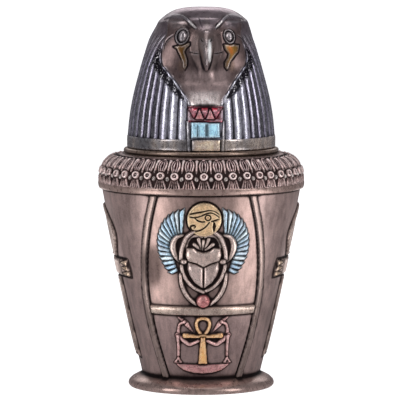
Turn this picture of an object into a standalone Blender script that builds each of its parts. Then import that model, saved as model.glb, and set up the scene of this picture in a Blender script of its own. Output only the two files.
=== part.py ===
"""Canopic jar with a falcon-headed lid: a hollow casting with raised ornament, and a lid that lifts off."""

import math

import bmesh
import bpy
from mathutils import Vector

# Jar sizes in metres, from the floor up
FOOT_PROUD = 0.0074
FOOT_HEIGHT = 0.0068
BODY_BASE_RADIUS = 0.0312
BODY_TOP_RADIUS = 0.0522
BODY_SWELL = 0.0008
BODY_HEIGHT = 0.0970
BAND_HEIGHT = 0.0047
BAND_PROUD = 0.0017
SHOULDER_PROUD = 0.0010
SHOULDER_HEIGHT = 0.0153
SHOULDER_DEPTH = 0.0140
SHOULDER_LEDGE = 0.0020
SHOULDER_UNDERCUT = math.radians(8.5)
COLLAR_HEIGHT = 0.0024
COLLAR_GROOVE = 0.0006
LIP_WIDTH = 0.0079
WALL = 0.0045
FLOOR = 0.0060

# Profiles of the jar, as shares of the size they belong to
FOOT_BEVEL = 0.10
FOOT_LINE = ((0.14, 0), (0.40, 0.08), (0.72, 0.44))
WALL_LEVELS = (0, 0.45, 1)
BAND_SWELL = 0.13
BAND_BEVEL = 0.08
LIP_LINE = ((0, 0.15), (0.5, 0), (1, 0.2))
CEILING_WALLS = 1.5

# Ornament of the jar
PETALS = 44
PETAL_RELIEF = 0.0013
PETAL_TOP_TURN = math.radians(80)
PETAL_SHAPES = ((0, 0.41, 0.85), (14, 0.28, 1.0), (24, 0.17, 0.6), (46, 0.38, 0.9))
BAR_RISE = 0.0012
BAR_WIDTH = 0.0042
BAR_SHARE = 0.3825
STRIP_RISE = 0.0009
STRIP_TOP_WIDTH = 0.0040
STRIP_FOOT_WIDTH = 0.0018
STRIP_TOP_ANGLE = math.radians(29.5)
STRIP_KINK_ANGLE = math.radians(44.2)
STRIP_FOOT_ANGLE = math.radians(31.6)
STRIP_BOW = 1.4
STRIP_FALL = 1.25
STRIP_TAPER = 0.7
FIGURE_RISE = 0.0011
FEATHERS = 16
SINK = 0.0010

# Lid sizes in metres, from its seat up
LID_GAP = 0.0003
LID_TURN = math.radians(2.2)
LID_INSET = 0.0018
LID_BASE_HEIGHT = 0.0061
HEAD_HEIGHT = 0.0674
SPIGOT_DEPTH = 0.0040
SPIGOT_CLEARANCE = 0.0006
SPIGOT_WALL = 0.0042
HOLLOW_SHARE = 0.78

# Ornament of the lid
RIBS = 40
RIB_RELIEF = 0.0009
RIB_GROOVE_SHARE = 0.17
RIB_SWEEP = math.radians(22)
PANEL_ANGLE = math.radians(14.4)
PANEL_RISE = 0.0006
PLATE_RISE = 0.0004
FACE_RIM = 0.0006
FACE_LAP = math.radians(4)
EYE_RADIUS = 0.0034
EYE_RISE = 0.0019
MARK_RISE = 0.0005
BROW_RISE = 0.0004

# Places on the chest panel: shares of its angle, of the head's height and of the base band's height
TOOTHED_BAND_LEVELS = (0.140, 0.248)
BAR_ROW_REACH = 0.78
BAR_ROW_LEVELS = (0.012, 0.132)
BASE_PLATE_REACH = 0.72
BASE_PLATE_LEVELS = (0.08, 0.95)
PANEL_EDGE_REACH = (0.84, 0.98)
PANEL_EDGE_FOOT = 0.3
PANEL_EDGE_TOP = 0.16
PANEL_EDGE_RISE = 0.8

# Facets round the turned surfaces
INNER_SEGMENTS = 24
CROWN_SEGMENTS = 22
EYE_SEGMENTS = 10

# Radii and levels worked out from the sizes above
FOOT_RADIUS = BODY_BASE_RADIUS + FOOT_PROUD
BAND_RADIUS = BODY_TOP_RADIUS + BAND_PROUD
SHOULDER_RADIUS = BAND_RADIUS + SHOULDER_PROUD
COLLAR_RADIUS = SHOULDER_RADIUS - SHOULDER_DEPTH
MOUTH_RADIUS = COLLAR_RADIUS - LIP_WIDTH
LID_BASE_RADIUS = COLLAR_RADIUS - LID_INSET
SPIGOT_RADIUS = MOUTH_RADIUS - SPIGOT_CLEARANCE
BODY_TOP = FOOT_HEIGHT + BODY_HEIGHT
BAND_TOP = BODY_TOP + BAND_HEIGHT
SHOULDER_TOP = BAND_TOP + SHOULDER_HEIGHT
JAR_TOP = SHOULDER_TOP + COLLAR_HEIGHT
BAR_LEVEL = FOOT_HEIGHT + BAR_SHARE * BODY_HEIGHT
LID_SEAT = JAR_TOP + LID_GAP
FRONT = 0.0
BACK = math.pi
SIDES = (math.pi / 2, -math.pi / 2)

# Heights of the drawn figures, in the drawing units of their outlines
UPPER_PANEL_DRAWN = 57.8
LOWER_PANEL_DRAWN = 35.0
WHOLE_PANEL_DRAWN = 97.0

# The falcon's head: shares of the lid's radius at shares of the head's height
HEADCLOTH_LINE = ((0, 0.992), (0.12, 0.972), (0.25, 0.938), (0.5, 0.832), (0.75, 0.700),
                  (0.87, 0.612), (0.92, 0.560), (0.957, 0.475), (0.985, 0.395), (1, 0.24))
FACE_LINE = ((0.18, 0.80), (0.258, 0.82), (0.303, 0.862), (0.34, 0.875), (0.392, 0.835), (0.451, 0.775),
             (0.525, 0.730), (0.614, 0.705), (0.703, 0.69), (0.792, 0.655), (0.87, 0.600), (0.918, 0.575),
             (0.95, 0.475), (0.98, 0.30))
FACE_ANGLES = ((0.18, 12), (0.25, 12.4), (0.315, 15.5), (0.366, 20), (0.417, 24.6), (0.503, 35),
               (0.567, 44), (0.604, 46.5), (0.674, 48), (0.733, 47.5), (0.79, 48), (0.85, 53),
               (0.92, 60), (0.98, 66))
BEAK_DEPTHS = ((0.512, 0), (0.532, 0.155), (0.562, 0.205), (0.614, 0.23), (0.674, 0.218), (0.733, 0.175),
               (0.792, 0.105), (0.844, 0.04), (0.896, 0))
BEAK_WIDTHS = ((0.512, 0.045), (0.532, 0.065), (0.562, 0.092), (0.614, 0.13), (0.674, 0.162),
               (0.733, 0.187), (0.792, 0.21), (0.896, 0.22))
FACE_ROUNDING = 2.4
FACE_ROOT = 0.80
BEAK_FLATNESS = 2.2
BEAK_FALL = 1.2
SLOPE_STEP = 0.0004

# Places on the face: across and width as shares of the lid's radius, height as a share of the head's
EYE_ACROSS = 0.317
EYE_LEVEL = 0.774
MARK_LINE = ((0.304, 0.70, 0.107), (0.309, 0.66, 0.077), (0.315, 0.632, 0.051), (0.302, 0.59, 0.061),
             (0.286, 0.55, 0.061), (0.281, 0.525, 0.026))
BROW_LINE = ((0.118, 0.845, 0.020), (0.174, 0.885, 0.038), (0.240, 0.915, 0.036), (0.358, 0.925, 0.031))

# The headcloth behind the face is sunk to a share of its radius, from just above the panel
SUNK_RADIUS = 0.88
SUNK_FROM = 0.2

# The ribs sweep forward from one share of the head's height, fully at another
SWEEP_FROM = 0.62
SWEEP_FULL = 0.82

# The lid's hollow: shares of the headcloth's radius at shares of the hollow's height
HOLLOW_LINE = ((1.0, 0.32), (0.92, 0.58), (0.70, 0.72), (0.35, 0.73))

# One wing, in the drawing units of its panel: feather tips on an oval, roots along a curve
WING_HUB = (11.5, 34.3)
WING_REACH = (14.1, 18.0)
WING_START = math.radians(95)
WING_TURN = math.radians(170)
WING_ROOT_ACROSS = ((0, 11.4), (0.2, 15.9), (0.42, 17.8), (0.65, 15.6), (0.85, 13.8), (1, 13.2))
WING_ROOT_UP = ((0, 37.4), (0.2, 36.4), (0.42, 31.5), (0.65, 26.0), (0.85, 21.6), (1, 19.0))


def clear_scene():
    """Removes what the scene holds."""
    for thing in list(bpy.data.objects):
        bpy.data.objects.remove(thing, do_unlink=True)


def smooth_through(points):
    """A curve through (place, value) points in rising order, which never overshoots them."""
    places = [place for place, _ in points]
    values = [value for _, value in points]
    steps = [after - before for before, after in zip(places, places[1:])]
    rises = [(after - before) / step for before, after, step in zip(values, values[1:], steps)]
    slopes = [rises[0]]
    for before, after in zip(rises, rises[1:]):
        slopes.append(2 * before * after / (before + after) if before * after > 0 else 0.0)
    slopes.append(rises[-1])

    def curve(place):
        place = min(max(place, places[0]), places[-1])
        index = 0
        while index < len(steps) - 1 and place > places[index + 1]:
            index += 1
        share = (place - places[index]) / steps[index]
        blend = share * share * (3 - 2 * share)
        leave = slopes[index] * steps[index] * share * (1 - share) ** 2
        arrive = slopes[index + 1] * steps[index] * share * share * (1 - share)
        return values[index] * (1 - blend) + values[index + 1] * blend + leave - arrive

    return curve


headcloth_line = smooth_through(HEADCLOTH_LINE)
face_line = smooth_through(FACE_LINE)
face_angle = smooth_through([(share, math.radians(angle)) for share, angle in FACE_ANGLES])
beak_depth = smooth_through(BEAK_DEPTHS)
beak_width = smooth_through(BEAK_WIDTHS)


def turned_point(angle, radius, height):
    """A point at an angle from the front, which faces -Y, turning towards +X."""
    return Vector((radius * math.sin(angle), -radius * math.cos(angle), height))


# Meshes, closed surfaces and their unions


def new_object(name, mesh, hidden=False, parent=None):
    """Makes an object of a bmesh, in flat triangles that point outwards."""
    bmesh.ops.recalc_face_normals(mesh, faces=mesh.faces[:])
    bmesh.ops.triangulate(mesh, faces=mesh.faces[:])
    data = bpy.data.meshes.new(name)
    mesh.to_mesh(data)
    mesh.free()
    thing = bpy.data.objects.new(name, data)
    bpy.context.scene.collection.objects.link(thing)
    thing.hide_render = hidden
    thing.display_type = "WIRE" if hidden else "TEXTURED"
    thing.parent = parent
    return thing


def plain_row(count, radius, height, offset=0.5):
    """A level row of (angle, radius, height) points. Half an offset lets a facet straddle the front."""
    return [(math.tau * (index + offset) / count, radius, height) for index in range(count)]


def add_row(mesh, row):
    """Adds a row's points to the mesh, each with its angle."""
    return [(angle, mesh.verts.new(turned_point(angle, radius, height))) for angle, radius, height in row]


def join_rows(mesh, lower, upper):
    """Fills the strip between two closed rows, point by point where their counts match, or else by angle."""
    if len(lower) == len(upper):
        for index in range(len(lower)):
            following = (index + 1) % len(lower)
            mesh.faces.new((lower[index][1], lower[following][1], upper[following][1], upper[index][1]))
        return
    at_lower, at_upper = 0, 0
    while at_lower < len(lower) or at_upper < len(upper):
        low, high = lower[at_lower % len(lower)], upper[at_upper % len(upper)]
        next_low, next_high = lower[(at_lower + 1) % len(lower)], upper[(at_upper + 1) % len(upper)]
        low_turn = next_low[0] + math.tau * ((at_lower + 1) // len(lower))
        high_turn = next_high[0] + math.tau * ((at_upper + 1) // len(upper))
        if at_lower < len(lower) and at_upper < len(upper) and abs(low_turn - high_turn) < 1e-3:
            mesh.faces.new((low[1], next_low[1], next_high[1], high[1]))
            at_lower += 1
            at_upper += 1
        elif at_upper == len(upper) or (at_lower < len(lower) and low_turn < high_turn):
            mesh.faces.new((low[1], next_low[1], high[1]))
            at_lower += 1
        else:
            mesh.faces.new((low[1], next_high[1], high[1]))
            at_upper += 1


def turned_solid(name, rows):
    """A closed solid through closed rows, capped at its first and its last row."""
    mesh = bmesh.new()
    rings = [add_row(mesh, row) for row in rows]
    for lower, upper in zip(rings, rings[1:]):
        join_rows(mesh, lower, upper)
    for ring in (rings[0], rings[-1]):
        mesh.faces.new([point for _, point in ring])
    return new_object(name, mesh)


def unite(body, pieces):
    """Joins raised pieces to a body as one casting."""
    group = bpy.data.collections.new(body.name + " ornament")
    for piece in pieces:
        group.objects.link(piece)
    join = body.modifiers.new("ornament", "BOOLEAN")
    join.operation = "UNION"
    join.solver = "EXACT"
    join.operand_type = "COLLECTION"
    join.collection = group


def finish(thing, name, colour, roughness, metallic):
    """Gives a piece its material and smooth shading with sharp edges kept."""
    material = bpy.data.materials.new(name)
    material.use_nodes = True
    shader = material.node_tree.nodes["Principled BSDF"]
    shader.inputs["Base Color"].default_value = (*colour, 1)
    shader.inputs["Roughness"].default_value = roughness
    shader.inputs["Metallic"].default_value = metallic
    thing.data.materials.append(material)
    thing.data.shade_smooth()
    thing.data.set_sharp_from_angle(angle=math.radians(32))


# Raised pieces, each drawn flat as (across, up) and laid on a surface by place(across, up, lift)


def mirrored(points):
    """The same drawn points on the other side of the middle."""
    return [(-point[0], *point[1:]) for point in points]


def ribbon(name, place, path, rise, closed=False, parent=None):
    """A raised band along a path of (across, up, width) points, with drafted edges."""
    mesh = bmesh.new()
    sections = []
    last = len(path) - 1
    for index, (across, up, width) in enumerate(path):
        before = path[index - 1] if closed or index > 0 else path[index]
        after = path[(index + 1) % len(path)] if closed or index < last else path[index]
        along = Vector((after[0] - before[0], after[1] - before[1])).normalized()
        side = Vector((-along.y, along.x))
        section = []
        for reach, lift in ((0.5, -SINK), (0.34, rise), (-0.34, rise), (-0.5, -SINK)):
            spot = Vector((across, up)) + side * reach * width
            section.append(mesh.verts.new(place(spot.x, spot.y, lift)))
        sections.append(section)
    pairs = list(zip(sections, sections[1:]))
    if closed:
        pairs.append((sections[-1], sections[0]))
    for one, other in pairs:
        for corner in range(4):
            following = (corner + 1) % 4
            mesh.faces.new((one[corner], one[following], other[following], other[corner]))
    if not closed:
        mesh.faces.new(sections[0])
        mesh.faces.new(sections[-1])
    return new_object(name, mesh, hidden=True, parent=parent)


def mound(name, place, outline, rings, parent=None):
    """A raised shape in rings of (size, lift) about its middle, the last of them closed by one point."""
    mesh = bmesh.new()
    middle = sum((Vector(point) for point in outline), Vector((0, 0))) / len(outline)
    rows = []
    for size, lift in ((1.0, -SINK), *rings[:-1]):
        spots = [middle + (Vector(point) - middle) * size for point in outline]
        rows.append([mesh.verts.new(place(spot.x, spot.y, lift)) for spot in spots])
    for lower, upper in zip(rows, rows[1:]):
        for index in range(len(outline)):
            following = (index + 1) % len(outline)
            mesh.faces.new((lower[index], lower[following], upper[following], upper[index]))
    top = mesh.verts.new(place(middle.x, middle.y, rings[-1][1]))
    for index in range(len(outline)):
        mesh.faces.new((rows[-1][index], rows[-1][(index + 1) % len(outline)], top))
    mesh.faces.new(rows[0])
    return new_object(name, mesh, hidden=True, parent=parent)


def plate(name, place, left, right, bottom, top, rise, columns, parent=None):
    """A raised plate that follows the surface in columns."""
    mesh = bmesh.new()
    sections = []
    for index in range(columns + 1):
        across = left + (right - left) * index / columns
        corners = ((bottom, -SINK), (bottom, rise), (top, rise), (top, -SINK))
        sections.append([mesh.verts.new(place(across, up, lift)) for up, lift in corners])
    for one, other in zip(sections, sections[1:]):
        for corner in range(4):
            following = (corner + 1) % 4
            mesh.faces.new((one[corner], one[following], other[following], other[corner]))
    mesh.faces.new(sections[0])
    mesh.faces.new(sections[-1])
    return new_object(name, mesh, hidden=True, parent=parent)


def round_outline(across, up, radius, count):
    """The points of a circle."""
    turns = [math.tau * index / count for index in range(count)]
    return [(across + radius * math.cos(turn), up + radius * math.sin(turn)) for turn in turns]


# The jar


def body_radius(height):
    """The jar's outer radius on its tapered wall."""
    share = (height - FOOT_HEIGHT) / BODY_HEIGHT
    swell = BODY_SWELL * 4 * share * (1 - share)
    return BODY_BASE_RADIUS + (BODY_TOP_RADIUS - BODY_BASE_RADIUS) * share + swell


def wall_panel(facing, bottom, top, drawn_height):
    """Lays a drawing on the wall about one facing, its height filling the wall from bottom to top."""
    scale = (top - bottom) / drawn_height

    def place(across, up, lift):
        height = bottom + up * scale
        angle = facing + across * scale / body_radius(height)
        return turned_point(angle, body_radius(height) + lift, height)

    return place


def wall_by_angle(facing):
    """Lays a shape on the wall by its angle from a facing and its height."""

    def place(angle, height, lift):
        return turned_point(facing + angle, body_radius(height) + lift, height)

    return place


def shoulder_row(turn, count, relief):
    """One row of the shoulder's quarter round, at a turn up from its widest line."""
    hub = COLLAR_RADIUS + SHOULDER_LEDGE
    rise = SHOULDER_HEIGHT / (1 + math.sin(SHOULDER_UNDERCUT))
    height = BAND_TOP + rise * (math.sin(turn) + math.sin(SHOULDER_UNDERCUT))
    swell = (SHOULDER_RADIUS - hub) * math.cos(turn)
    inward = math.cos(turn), math.sin(turn)
    row = []
    for index in range(count):
        for offset, lift in relief:
            depth = PETAL_RELIEF * (1 - lift)
            angle = math.tau * (index + offset) / count
            row.append((angle, hub + swell - depth * inward[0], height - depth * inward[1]))
    return row


def petal_rows():
    """The rows of the petals: a fan, a ring, a waist and a leaf that narrows to the collar."""
    rows = [shoulder_row(-SHOULDER_UNDERCUT, PETALS, ((0, 0.15),))]
    for turn, half_width, lift in PETAL_SHAPES:
        relief = ((-half_width, lift), (half_width, lift), (0.5, 0.0))
        rows.append(shoulder_row(math.radians(turn), PETALS, relief))
    rows.append(shoulder_row(PETAL_TOP_TURN, PETALS, ((0, 0.5),)))
    return rows


def jar_rows():
    """The jar's rows: up the outside, over the lip and down the inside to its floor."""
    rows = [plain_row(PETALS, FOOT_RADIUS - FOOT_BEVEL * FOOT_HEIGHT, 0)]
    for share, fall in FOOT_LINE:
        radius = FOOT_RADIUS + (BODY_BASE_RADIUS - FOOT_RADIUS) * fall
        rows.append(plain_row(PETALS, radius, share * FOOT_HEIGHT))
    for share in WALL_LEVELS:
        height = FOOT_HEIGHT + share * BODY_HEIGHT
        rows.append(plain_row(PETALS, body_radius(height), height))
    rows.append(plain_row(PETALS, BAND_RADIUS, BODY_TOP))
    widest = BAND_RADIUS + BAND_SWELL * BAND_HEIGHT
    rows.append(plain_row(PETALS, widest, BAND_TOP - BAND_BEVEL * BAND_HEIGHT))
    rows += petal_rows()
    lip = COLLAR_HEIGHT + COLLAR_GROOVE
    for share, inset in LIP_LINE:
        height = SHOULDER_TOP - COLLAR_GROOVE + share * lip
        rows.append(plain_row(PETALS, COLLAR_RADIUS - inset * lip, height))
    rows.append(plain_row(INNER_SEGMENTS, MOUTH_RADIUS, JAR_TOP))
    rows.append(plain_row(INNER_SEGMENTS, MOUTH_RADIUS, SHOULDER_TOP - WALL))
    ceiling = (MOUTH_RADIUS + 2 * (BODY_TOP_RADIUS - WALL)) / 3
    rows.append(plain_row(INNER_SEGMENTS, ceiling, SHOULDER_TOP - CEILING_WALLS * WALL))
    for height in (BODY_TOP, (BODY_TOP + FLOOR) / 2, FLOOR):
        rows.append(plain_row(INNER_SEGMENTS, body_radius(height) - WALL, height))
    return rows


def strip_path(side):
    """One edging strip from the band down to the foot, bowed above its kink and nearly straight below."""
    path = []
    for share in (0.01, -0.2, -0.4):
        height = BODY_TOP + share * BODY_HEIGHT
        fall = max(0, min(1, (BODY_TOP - height) / (BODY_TOP - BAR_LEVEL)))
        bow = math.sin(fall * math.pi / 2) ** STRIP_BOW
        angle = STRIP_TOP_ANGLE + (STRIP_KINK_ANGLE - STRIP_TOP_ANGLE) * bow
        path.append((side * angle, height))
    for fall in (0, 0.5, 1.03):
        height = BAR_LEVEL + (FOOT_HEIGHT - BAR_LEVEL) * fall
        angle = STRIP_KINK_ANGLE + (STRIP_FOOT_ANGLE - STRIP_KINK_ANGLE) * fall**STRIP_FALL
        path.append((side * angle, height))
    return path


def strip(name, facing, side):
    """An edging strip, tapered from the band to the foot, its width turned into an angle at each height."""
    path = strip_path(side)
    mesh = bmesh.new()
    sections = []
    for angle, height in path:
        share = max(0, min(1, (BODY_TOP - height) / BODY_HEIGHT))
        width = STRIP_TOP_WIDTH + (STRIP_FOOT_WIDTH - STRIP_TOP_WIDTH) * share**STRIP_TAPER
        radius = body_radius(height)
        section = []
        for reach, lift in ((0.5, -SINK), (0.36, STRIP_RISE), (-0.36, STRIP_RISE), (-0.5, -SINK)):
            place = turned_point(facing + angle + reach * width / radius, radius + lift, height)
            section.append(mesh.verts.new(place))
        sections.append(section)
    for one, other in zip(sections, sections[1:]):
        for corner in range(4):
            following = (corner + 1) % 4
            mesh.faces.new((one[corner], one[following], other[following], other[corner]))
    mesh.faces.new(sections[0])
    mesh.faces.new(sections[-1])
    return new_object(name, mesh, hidden=True)


def framing(facing, side_name):
    """The strips and the bar that part one face of the jar."""
    pieces = [strip(f"{side_name} strip {side}", facing, side) for side in (1, -1)]
    reach = STRIP_KINK_ANGLE
    low, high = BAR_LEVEL - BAR_WIDTH / 2, BAR_LEVEL + BAR_WIDTH / 2
    pieces.append(plate(f"{side_name} bar", wall_by_angle(facing), -reach, reach, low, high, BAR_RISE, 9))
    return pieces


def wing(name, place, side):
    """One spread wing: feathers fanned from the shoulder, each with a ridge."""
    mesh = bmesh.new()
    root_across = smooth_through(WING_ROOT_ACROSS)
    root_up = smooth_through(WING_ROOT_UP)
    sections = []
    for index in range(2 * FEATHERS + 1):
        share = index / (2 * FEATHERS)
        ridge = index % 2 == 1
        turn = WING_START - WING_TURN * share
        reach = 1.0 if ridge else 0.95
        tip = (WING_HUB[0] + WING_REACH[0] * math.cos(turn) * reach,
               WING_HUB[1] + WING_REACH[1] * math.sin(turn) * reach)
        root = (root_across(share), root_up(share))
        lift = FIGURE_RISE * (0.9 if ridge else 0.35)
        corners = ((root, -SINK), (root, lift), (tip, lift), (tip, -SINK))
        sections.append([mesh.verts.new(place(side * spot[0], spot[1], raised)) for spot, raised in corners])
    for one, other in zip(sections, sections[1:]):
        for corner in range(4):
            following = (corner + 1) % 4
            mesh.faces.new((one[corner], one[following], other[following], other[corner]))
    mesh.faces.new(sections[0])
    mesh.faces.new(sections[-1])
    return new_object(name, mesh, hidden=True)


def scarab(place):
    """The winged scarab: it holds up a disc with its front legs and rolls a ball with its hind legs."""
    disc = round_outline(0.2, 46.4, 8.9, 17)
    shield = [(-8.8, 32.2), (-9.5, 29.5), (-9.0, 26.2), (-6.2, 24.1), (0, 22.2), (6.2, 24.1), (9.0, 26.2),
              (9.5, 29.5), (8.8, 32.2), (5.5, 32.6), (0, 29.4), (-5.5, 32.6)]
    head = [(-4.9, 31.2), (-4.6, 35.9), (-2.2, 34.2), (-0.9, 36.6), (0.9, 36.6), (2.2, 34.2), (4.6, 35.9),
            (4.9, 31.2), (2.8, 29.6), (-2.8, 29.6)]
    wing_case = [(0.25, 21.4), (5.5, 23.3), (8.2, 23.9), (8.3, 19.5), (7.0, 14.7), (3.9, 11.1), (0.25, 9.2)]
    arm = [(4.2, 40.6, 1.6), (8.0, 37.9, 2.1), (10.3, 33.0, 2.3), (11.6, 26.6, 2.2)]
    crescent = [(10.9, 38.4, 0.8), (14.6, 36.4, 2.4), (16.4, 31.6, 3.3), (14.8, 27.2, 2.4),
                (12.4, 23.8, 1.0)]
    middle_leg = [(12.6, 25.6, 1.6), (10.0, 18.8, 1.7), (6.6, 12.6, 1.6), (-0.4, 8.2, 1.4)]
    hind_leg = [(11.6, 16.6, 1.6), (11.0, 10.6, 1.9), (8.2, 5.3, 1.9), (3.8, 1.4, 1.2)]
    rise = FIGURE_RISE
    pieces = [
        mound("sun disc", place, disc, ((0.93, 1.2 * rise), (0, 1.35 * rise))),
        mound("shield", place, shield, ((0.9, rise), (0, 1.6 * rise))),
        mound("head", place, head, ((0.9, 0.9 * rise), (0, 1.2 * rise))),
        mound("ball", place, round_outline(0, 3.5, 3.4, 11), ((0.8, 1.5 * rise), (0, 2 * rise))),
    ]
    for side, label in ((1, "right"), (-1, "left")):
        turned = (lambda points: points) if side == 1 else mirrored
        case_rings = ((0.9, rise), (0, 1.65 * rise))
        pieces.append(wing(f"{label} wing", place, side))
        pieces.append(mound(f"{label} wing case", place, turned(wing_case), case_rings))
        pieces.append(ribbon(f"{label} crescent", place, turned(crescent), 1.15 * rise))
        pieces.append(ribbon(f"{label} arm", place, turned(arm), 1.25 * rise))
        pieces.append(ribbon(f"{label} middle leg", place, turned(middle_leg), 0.9 * rise))
        pieces.append(ribbon(f"{label} hind leg", place, turned(hind_leg), 1.05 * rise))
    return pieces


def ankh_group(place):
    """An ankh between two bird-headed figures that lean on it, over a boat."""
    rise = FIGURE_RISE
    loop = [(0, 33.3), (-2.3, 32.4), (-3.3, 29.8), (-2.6, 27.4), (0, 24.4), (2.6, 27.4), (3.3, 29.8),
            (2.3, 32.4)]
    boat = [(-14.6, 8.7, 0.5), (-9.6, 7.4, 2.4), (-3.2, 6.1, 4.1), (3.2, 6.1, 4.1), (9.6, 7.4, 2.4),
            (14.6, 8.7, 0.5)]
    pieces = [
        ribbon("ankh loop", place, [(*point, 1.6) for point in loop], rise, closed=True),
        ribbon("ankh arms", place, [(-9.3, 23.8, 2.4), (0, 23.8, 2.0), (9.3, 23.8, 2.4)], 1.05 * rise),
        ribbon("ankh shaft", place, [(0, 24.6, 2.6), (0, 15, 3.2), (0, 7.6, 4.7)], 1.15 * rise),
        ribbon("boat", place, boat, 0.75 * rise),
    ]
    crest = [(13.1, 33.7, 0.7), (8.9, 30.0, 2.0), (5.2, 26.4, 0.7)]
    neck = [(8.8, 30.4, 1.5), (12.3, 29.9, 1.4), (13.4, 25.0, 1.6)]
    arm = [(14.2, 24.4, 2.2), (7.0, 19.9, 1.8), (1.0, 21.6, 1.4)]
    leg = [(13.4, 23.6, 2.0), (13.5, 11.8, 1.4)]
    foot = [(15.6, 10.0), (13.5, 12.2), (11.7, 9.6)]
    for side, label in ((1, "right"), (-1, "left")):
        turned = (lambda points: points) if side == 1 else mirrored
        for part_name, path in (("crest", crest), ("neck", neck), ("bird arm", arm), ("bird leg", leg)):
            pieces.append(ribbon(f"{label} {part_name}", place, turned(path), 0.7 * rise))
        pieces.append(mound(f"{label} foot", place, turned(foot), ((0.8, 0.65 * rise), (0, 0.7 * rise))))
    return pieces


def side_ankh(place, label):
    """The large ankh on one side of the jar, its loop filled behind a raised rim."""
    rise = FIGURE_RISE
    loop = [(0.3, 90.6), (-8.6, 86.6), (-15.4, 80.2), (-17.0, 74.4), (-13.6, 67.2), (-9.0, 61.6),
            (9.0, 61.6), (13.6, 67.2), (17.0, 74.4), (15.4, 80.2), (8.6, 86.6)]
    rim = ((0.94, 1.5 * rise), (0.85, 1.1 * rise), (0, 1.1 * rise))
    pieces = [
        mound(f"{label} loop", place, loop, rim),
        plate(f"{label} arms", place, -24.5, 24.5, 53.0, 62.2, 1.2 * rise, 7),
        plate(f"{label} shaft", place, -11.2, 11.2, 9.4, 54.0, 1.1 * rise, 3),
    ]
    for side in (1, -1):
        for level in (54.6, 57.6, 60.6):
            tooth = [(side * 24.3, level - 1.5), (side * 26.6, level), (side * 24.3, level + 1.5),
                     (side * 22, level)]
            rings = ((0, 1.3 * rise),)
            pieces.append(mound(f"{label} tooth {side} {level}", place, tooth, rings))
    return pieces


def back_pillar(place):
    """A plain pillar with four cross pieces on the back, below the band."""
    rise = FIGURE_RISE
    pieces = [ribbon("pillar", place, [(0, 5, 12), (0, 30, 9), (0, 54, 10)], rise)]
    for level in (34, 39.5, 45, 50.5):
        cross = [(-10, level, 3.2), (10, level, 3.2)]
        pieces.append(ribbon(f"pillar cross {level}", place, cross, 1.2 * rise))
    return pieces


def build_jar():
    """The jar, hollow and open at the top, with all its ornament."""
    jar = turned_solid("jar", jar_rows())
    bar_top = BAR_LEVEL + BAR_WIDTH / 2
    bar_foot = BAR_LEVEL - BAR_WIDTH / 2
    pieces = framing(FRONT, "front") + framing(BACK, "back")
    pieces += scarab(wall_panel(FRONT, bar_top, BODY_TOP, UPPER_PANEL_DRAWN))
    pieces += ankh_group(wall_panel(FRONT, FOOT_HEIGHT, bar_foot, LOWER_PANEL_DRAWN))
    pieces += back_pillar(wall_panel(BACK, bar_top, BODY_TOP, UPPER_PANEL_DRAWN))
    for facing, label in zip(SIDES, ("right side", "left side")):
        pieces += side_ankh(wall_panel(facing, FOOT_HEIGHT, BODY_TOP, WHOLE_PANEL_DRAWN), label)
    unite(jar, pieces)
    finish(jar, "antique bronze", (0.30, 0.24, 0.23), 0.42, 0.6)
    return jar


# The lid, in its own frame: its seat is at zero and its face looks to the front


def headcloth_radius(share):
    """The headcloth's radius over its ribs, at a share of the head's height."""
    return LID_BASE_RADIUS * headcloth_line(share)


def head_level(share):
    """The height of a share of the head above the lid's seat."""
    return LID_BASE_HEIGHT + share * HEAD_HEIGHT


def headcloth_row(share, ribbed):
    """A row of the headcloth: sunk behind the face and the panel, and ribbed or plain round the back."""
    radius = headcloth_radius(share)
    sunk = SUNK_RADIUS if share > SUNK_FROM else 1.0
    sweep = RIB_SWEEP * max(0.0, share - SWEEP_FROM) / (SWEEP_FULL - SWEEP_FROM)
    row = []
    for index in range(-1, 2):
        row.append((PANEL_ANGLE * index / 2, radius * sunk, head_level(share)))
    pitch = (math.tau - 2 * PANEL_ANGLE) / RIBS
    places = [(index, RIB_RELIEF if ribbed else 0) for index in range(RIBS + 1)]
    if ribbed:
        places += [(index + RIB_GROOVE_SHARE, 0) for index in range(RIBS)]
        places += [(index + 1 - RIB_GROOVE_SHARE, 0) for index in range(RIBS)]
    for place, groove in places:
        angle = PANEL_ANGLE + pitch * place
        swept = angle - sweep * math.sin(angle)
        near = math.pi - abs(math.pi - swept)
        behind = near < face_angle(share) - FACE_LAP and share > SUNK_FROM
        row.append((swept, radius * sunk if behind else radius - groove, head_level(share)))
    return sorted(point if point[0] >= 0 else (point[0] + math.tau, *point[1:]) for point in row)


def lid_rows():
    """The lid's rows: down the inside from the cavity's top, round the spigot and up the outside."""
    rows = []
    for share, narrowing in HOLLOW_LINE:
        height = share * head_level(HOLLOW_SHARE)
        around = headcloth_radius((height - LID_BASE_HEIGHT) / HEAD_HEIGHT)
        rows.append(plain_row(INNER_SEGMENTS, narrowing * around, height))
    rows.append(plain_row(INNER_SEGMENTS, SPIGOT_RADIUS - SPIGOT_WALL, -SPIGOT_DEPTH))
    rows.append(plain_row(INNER_SEGMENTS, SPIGOT_RADIUS, -SPIGOT_DEPTH))
    rows.append(plain_row(INNER_SEGMENTS, SPIGOT_RADIUS, 0))
    rows.append(plain_row(PETALS, LID_BASE_RADIUS - 0.05 * LID_BASE_HEIGHT, 0))
    rows.append(plain_row(PETALS, LID_BASE_RADIUS, 0.07 * LID_BASE_HEIGHT))
    rows.append(plain_row(PETALS, LID_BASE_RADIUS, 0.95 * LID_BASE_HEIGHT))
    for share, ribbed in ((0, True), (0.36, True), (0.71, True), (0.81, False)):
        rows.append(headcloth_row(share, ribbed))
    for share in (0.88, 0.935, 0.97, 1):
        rows.append(plain_row(CROWN_SEGMENTS, headcloth_radius(share), head_level(share)))
    return rows


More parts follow.
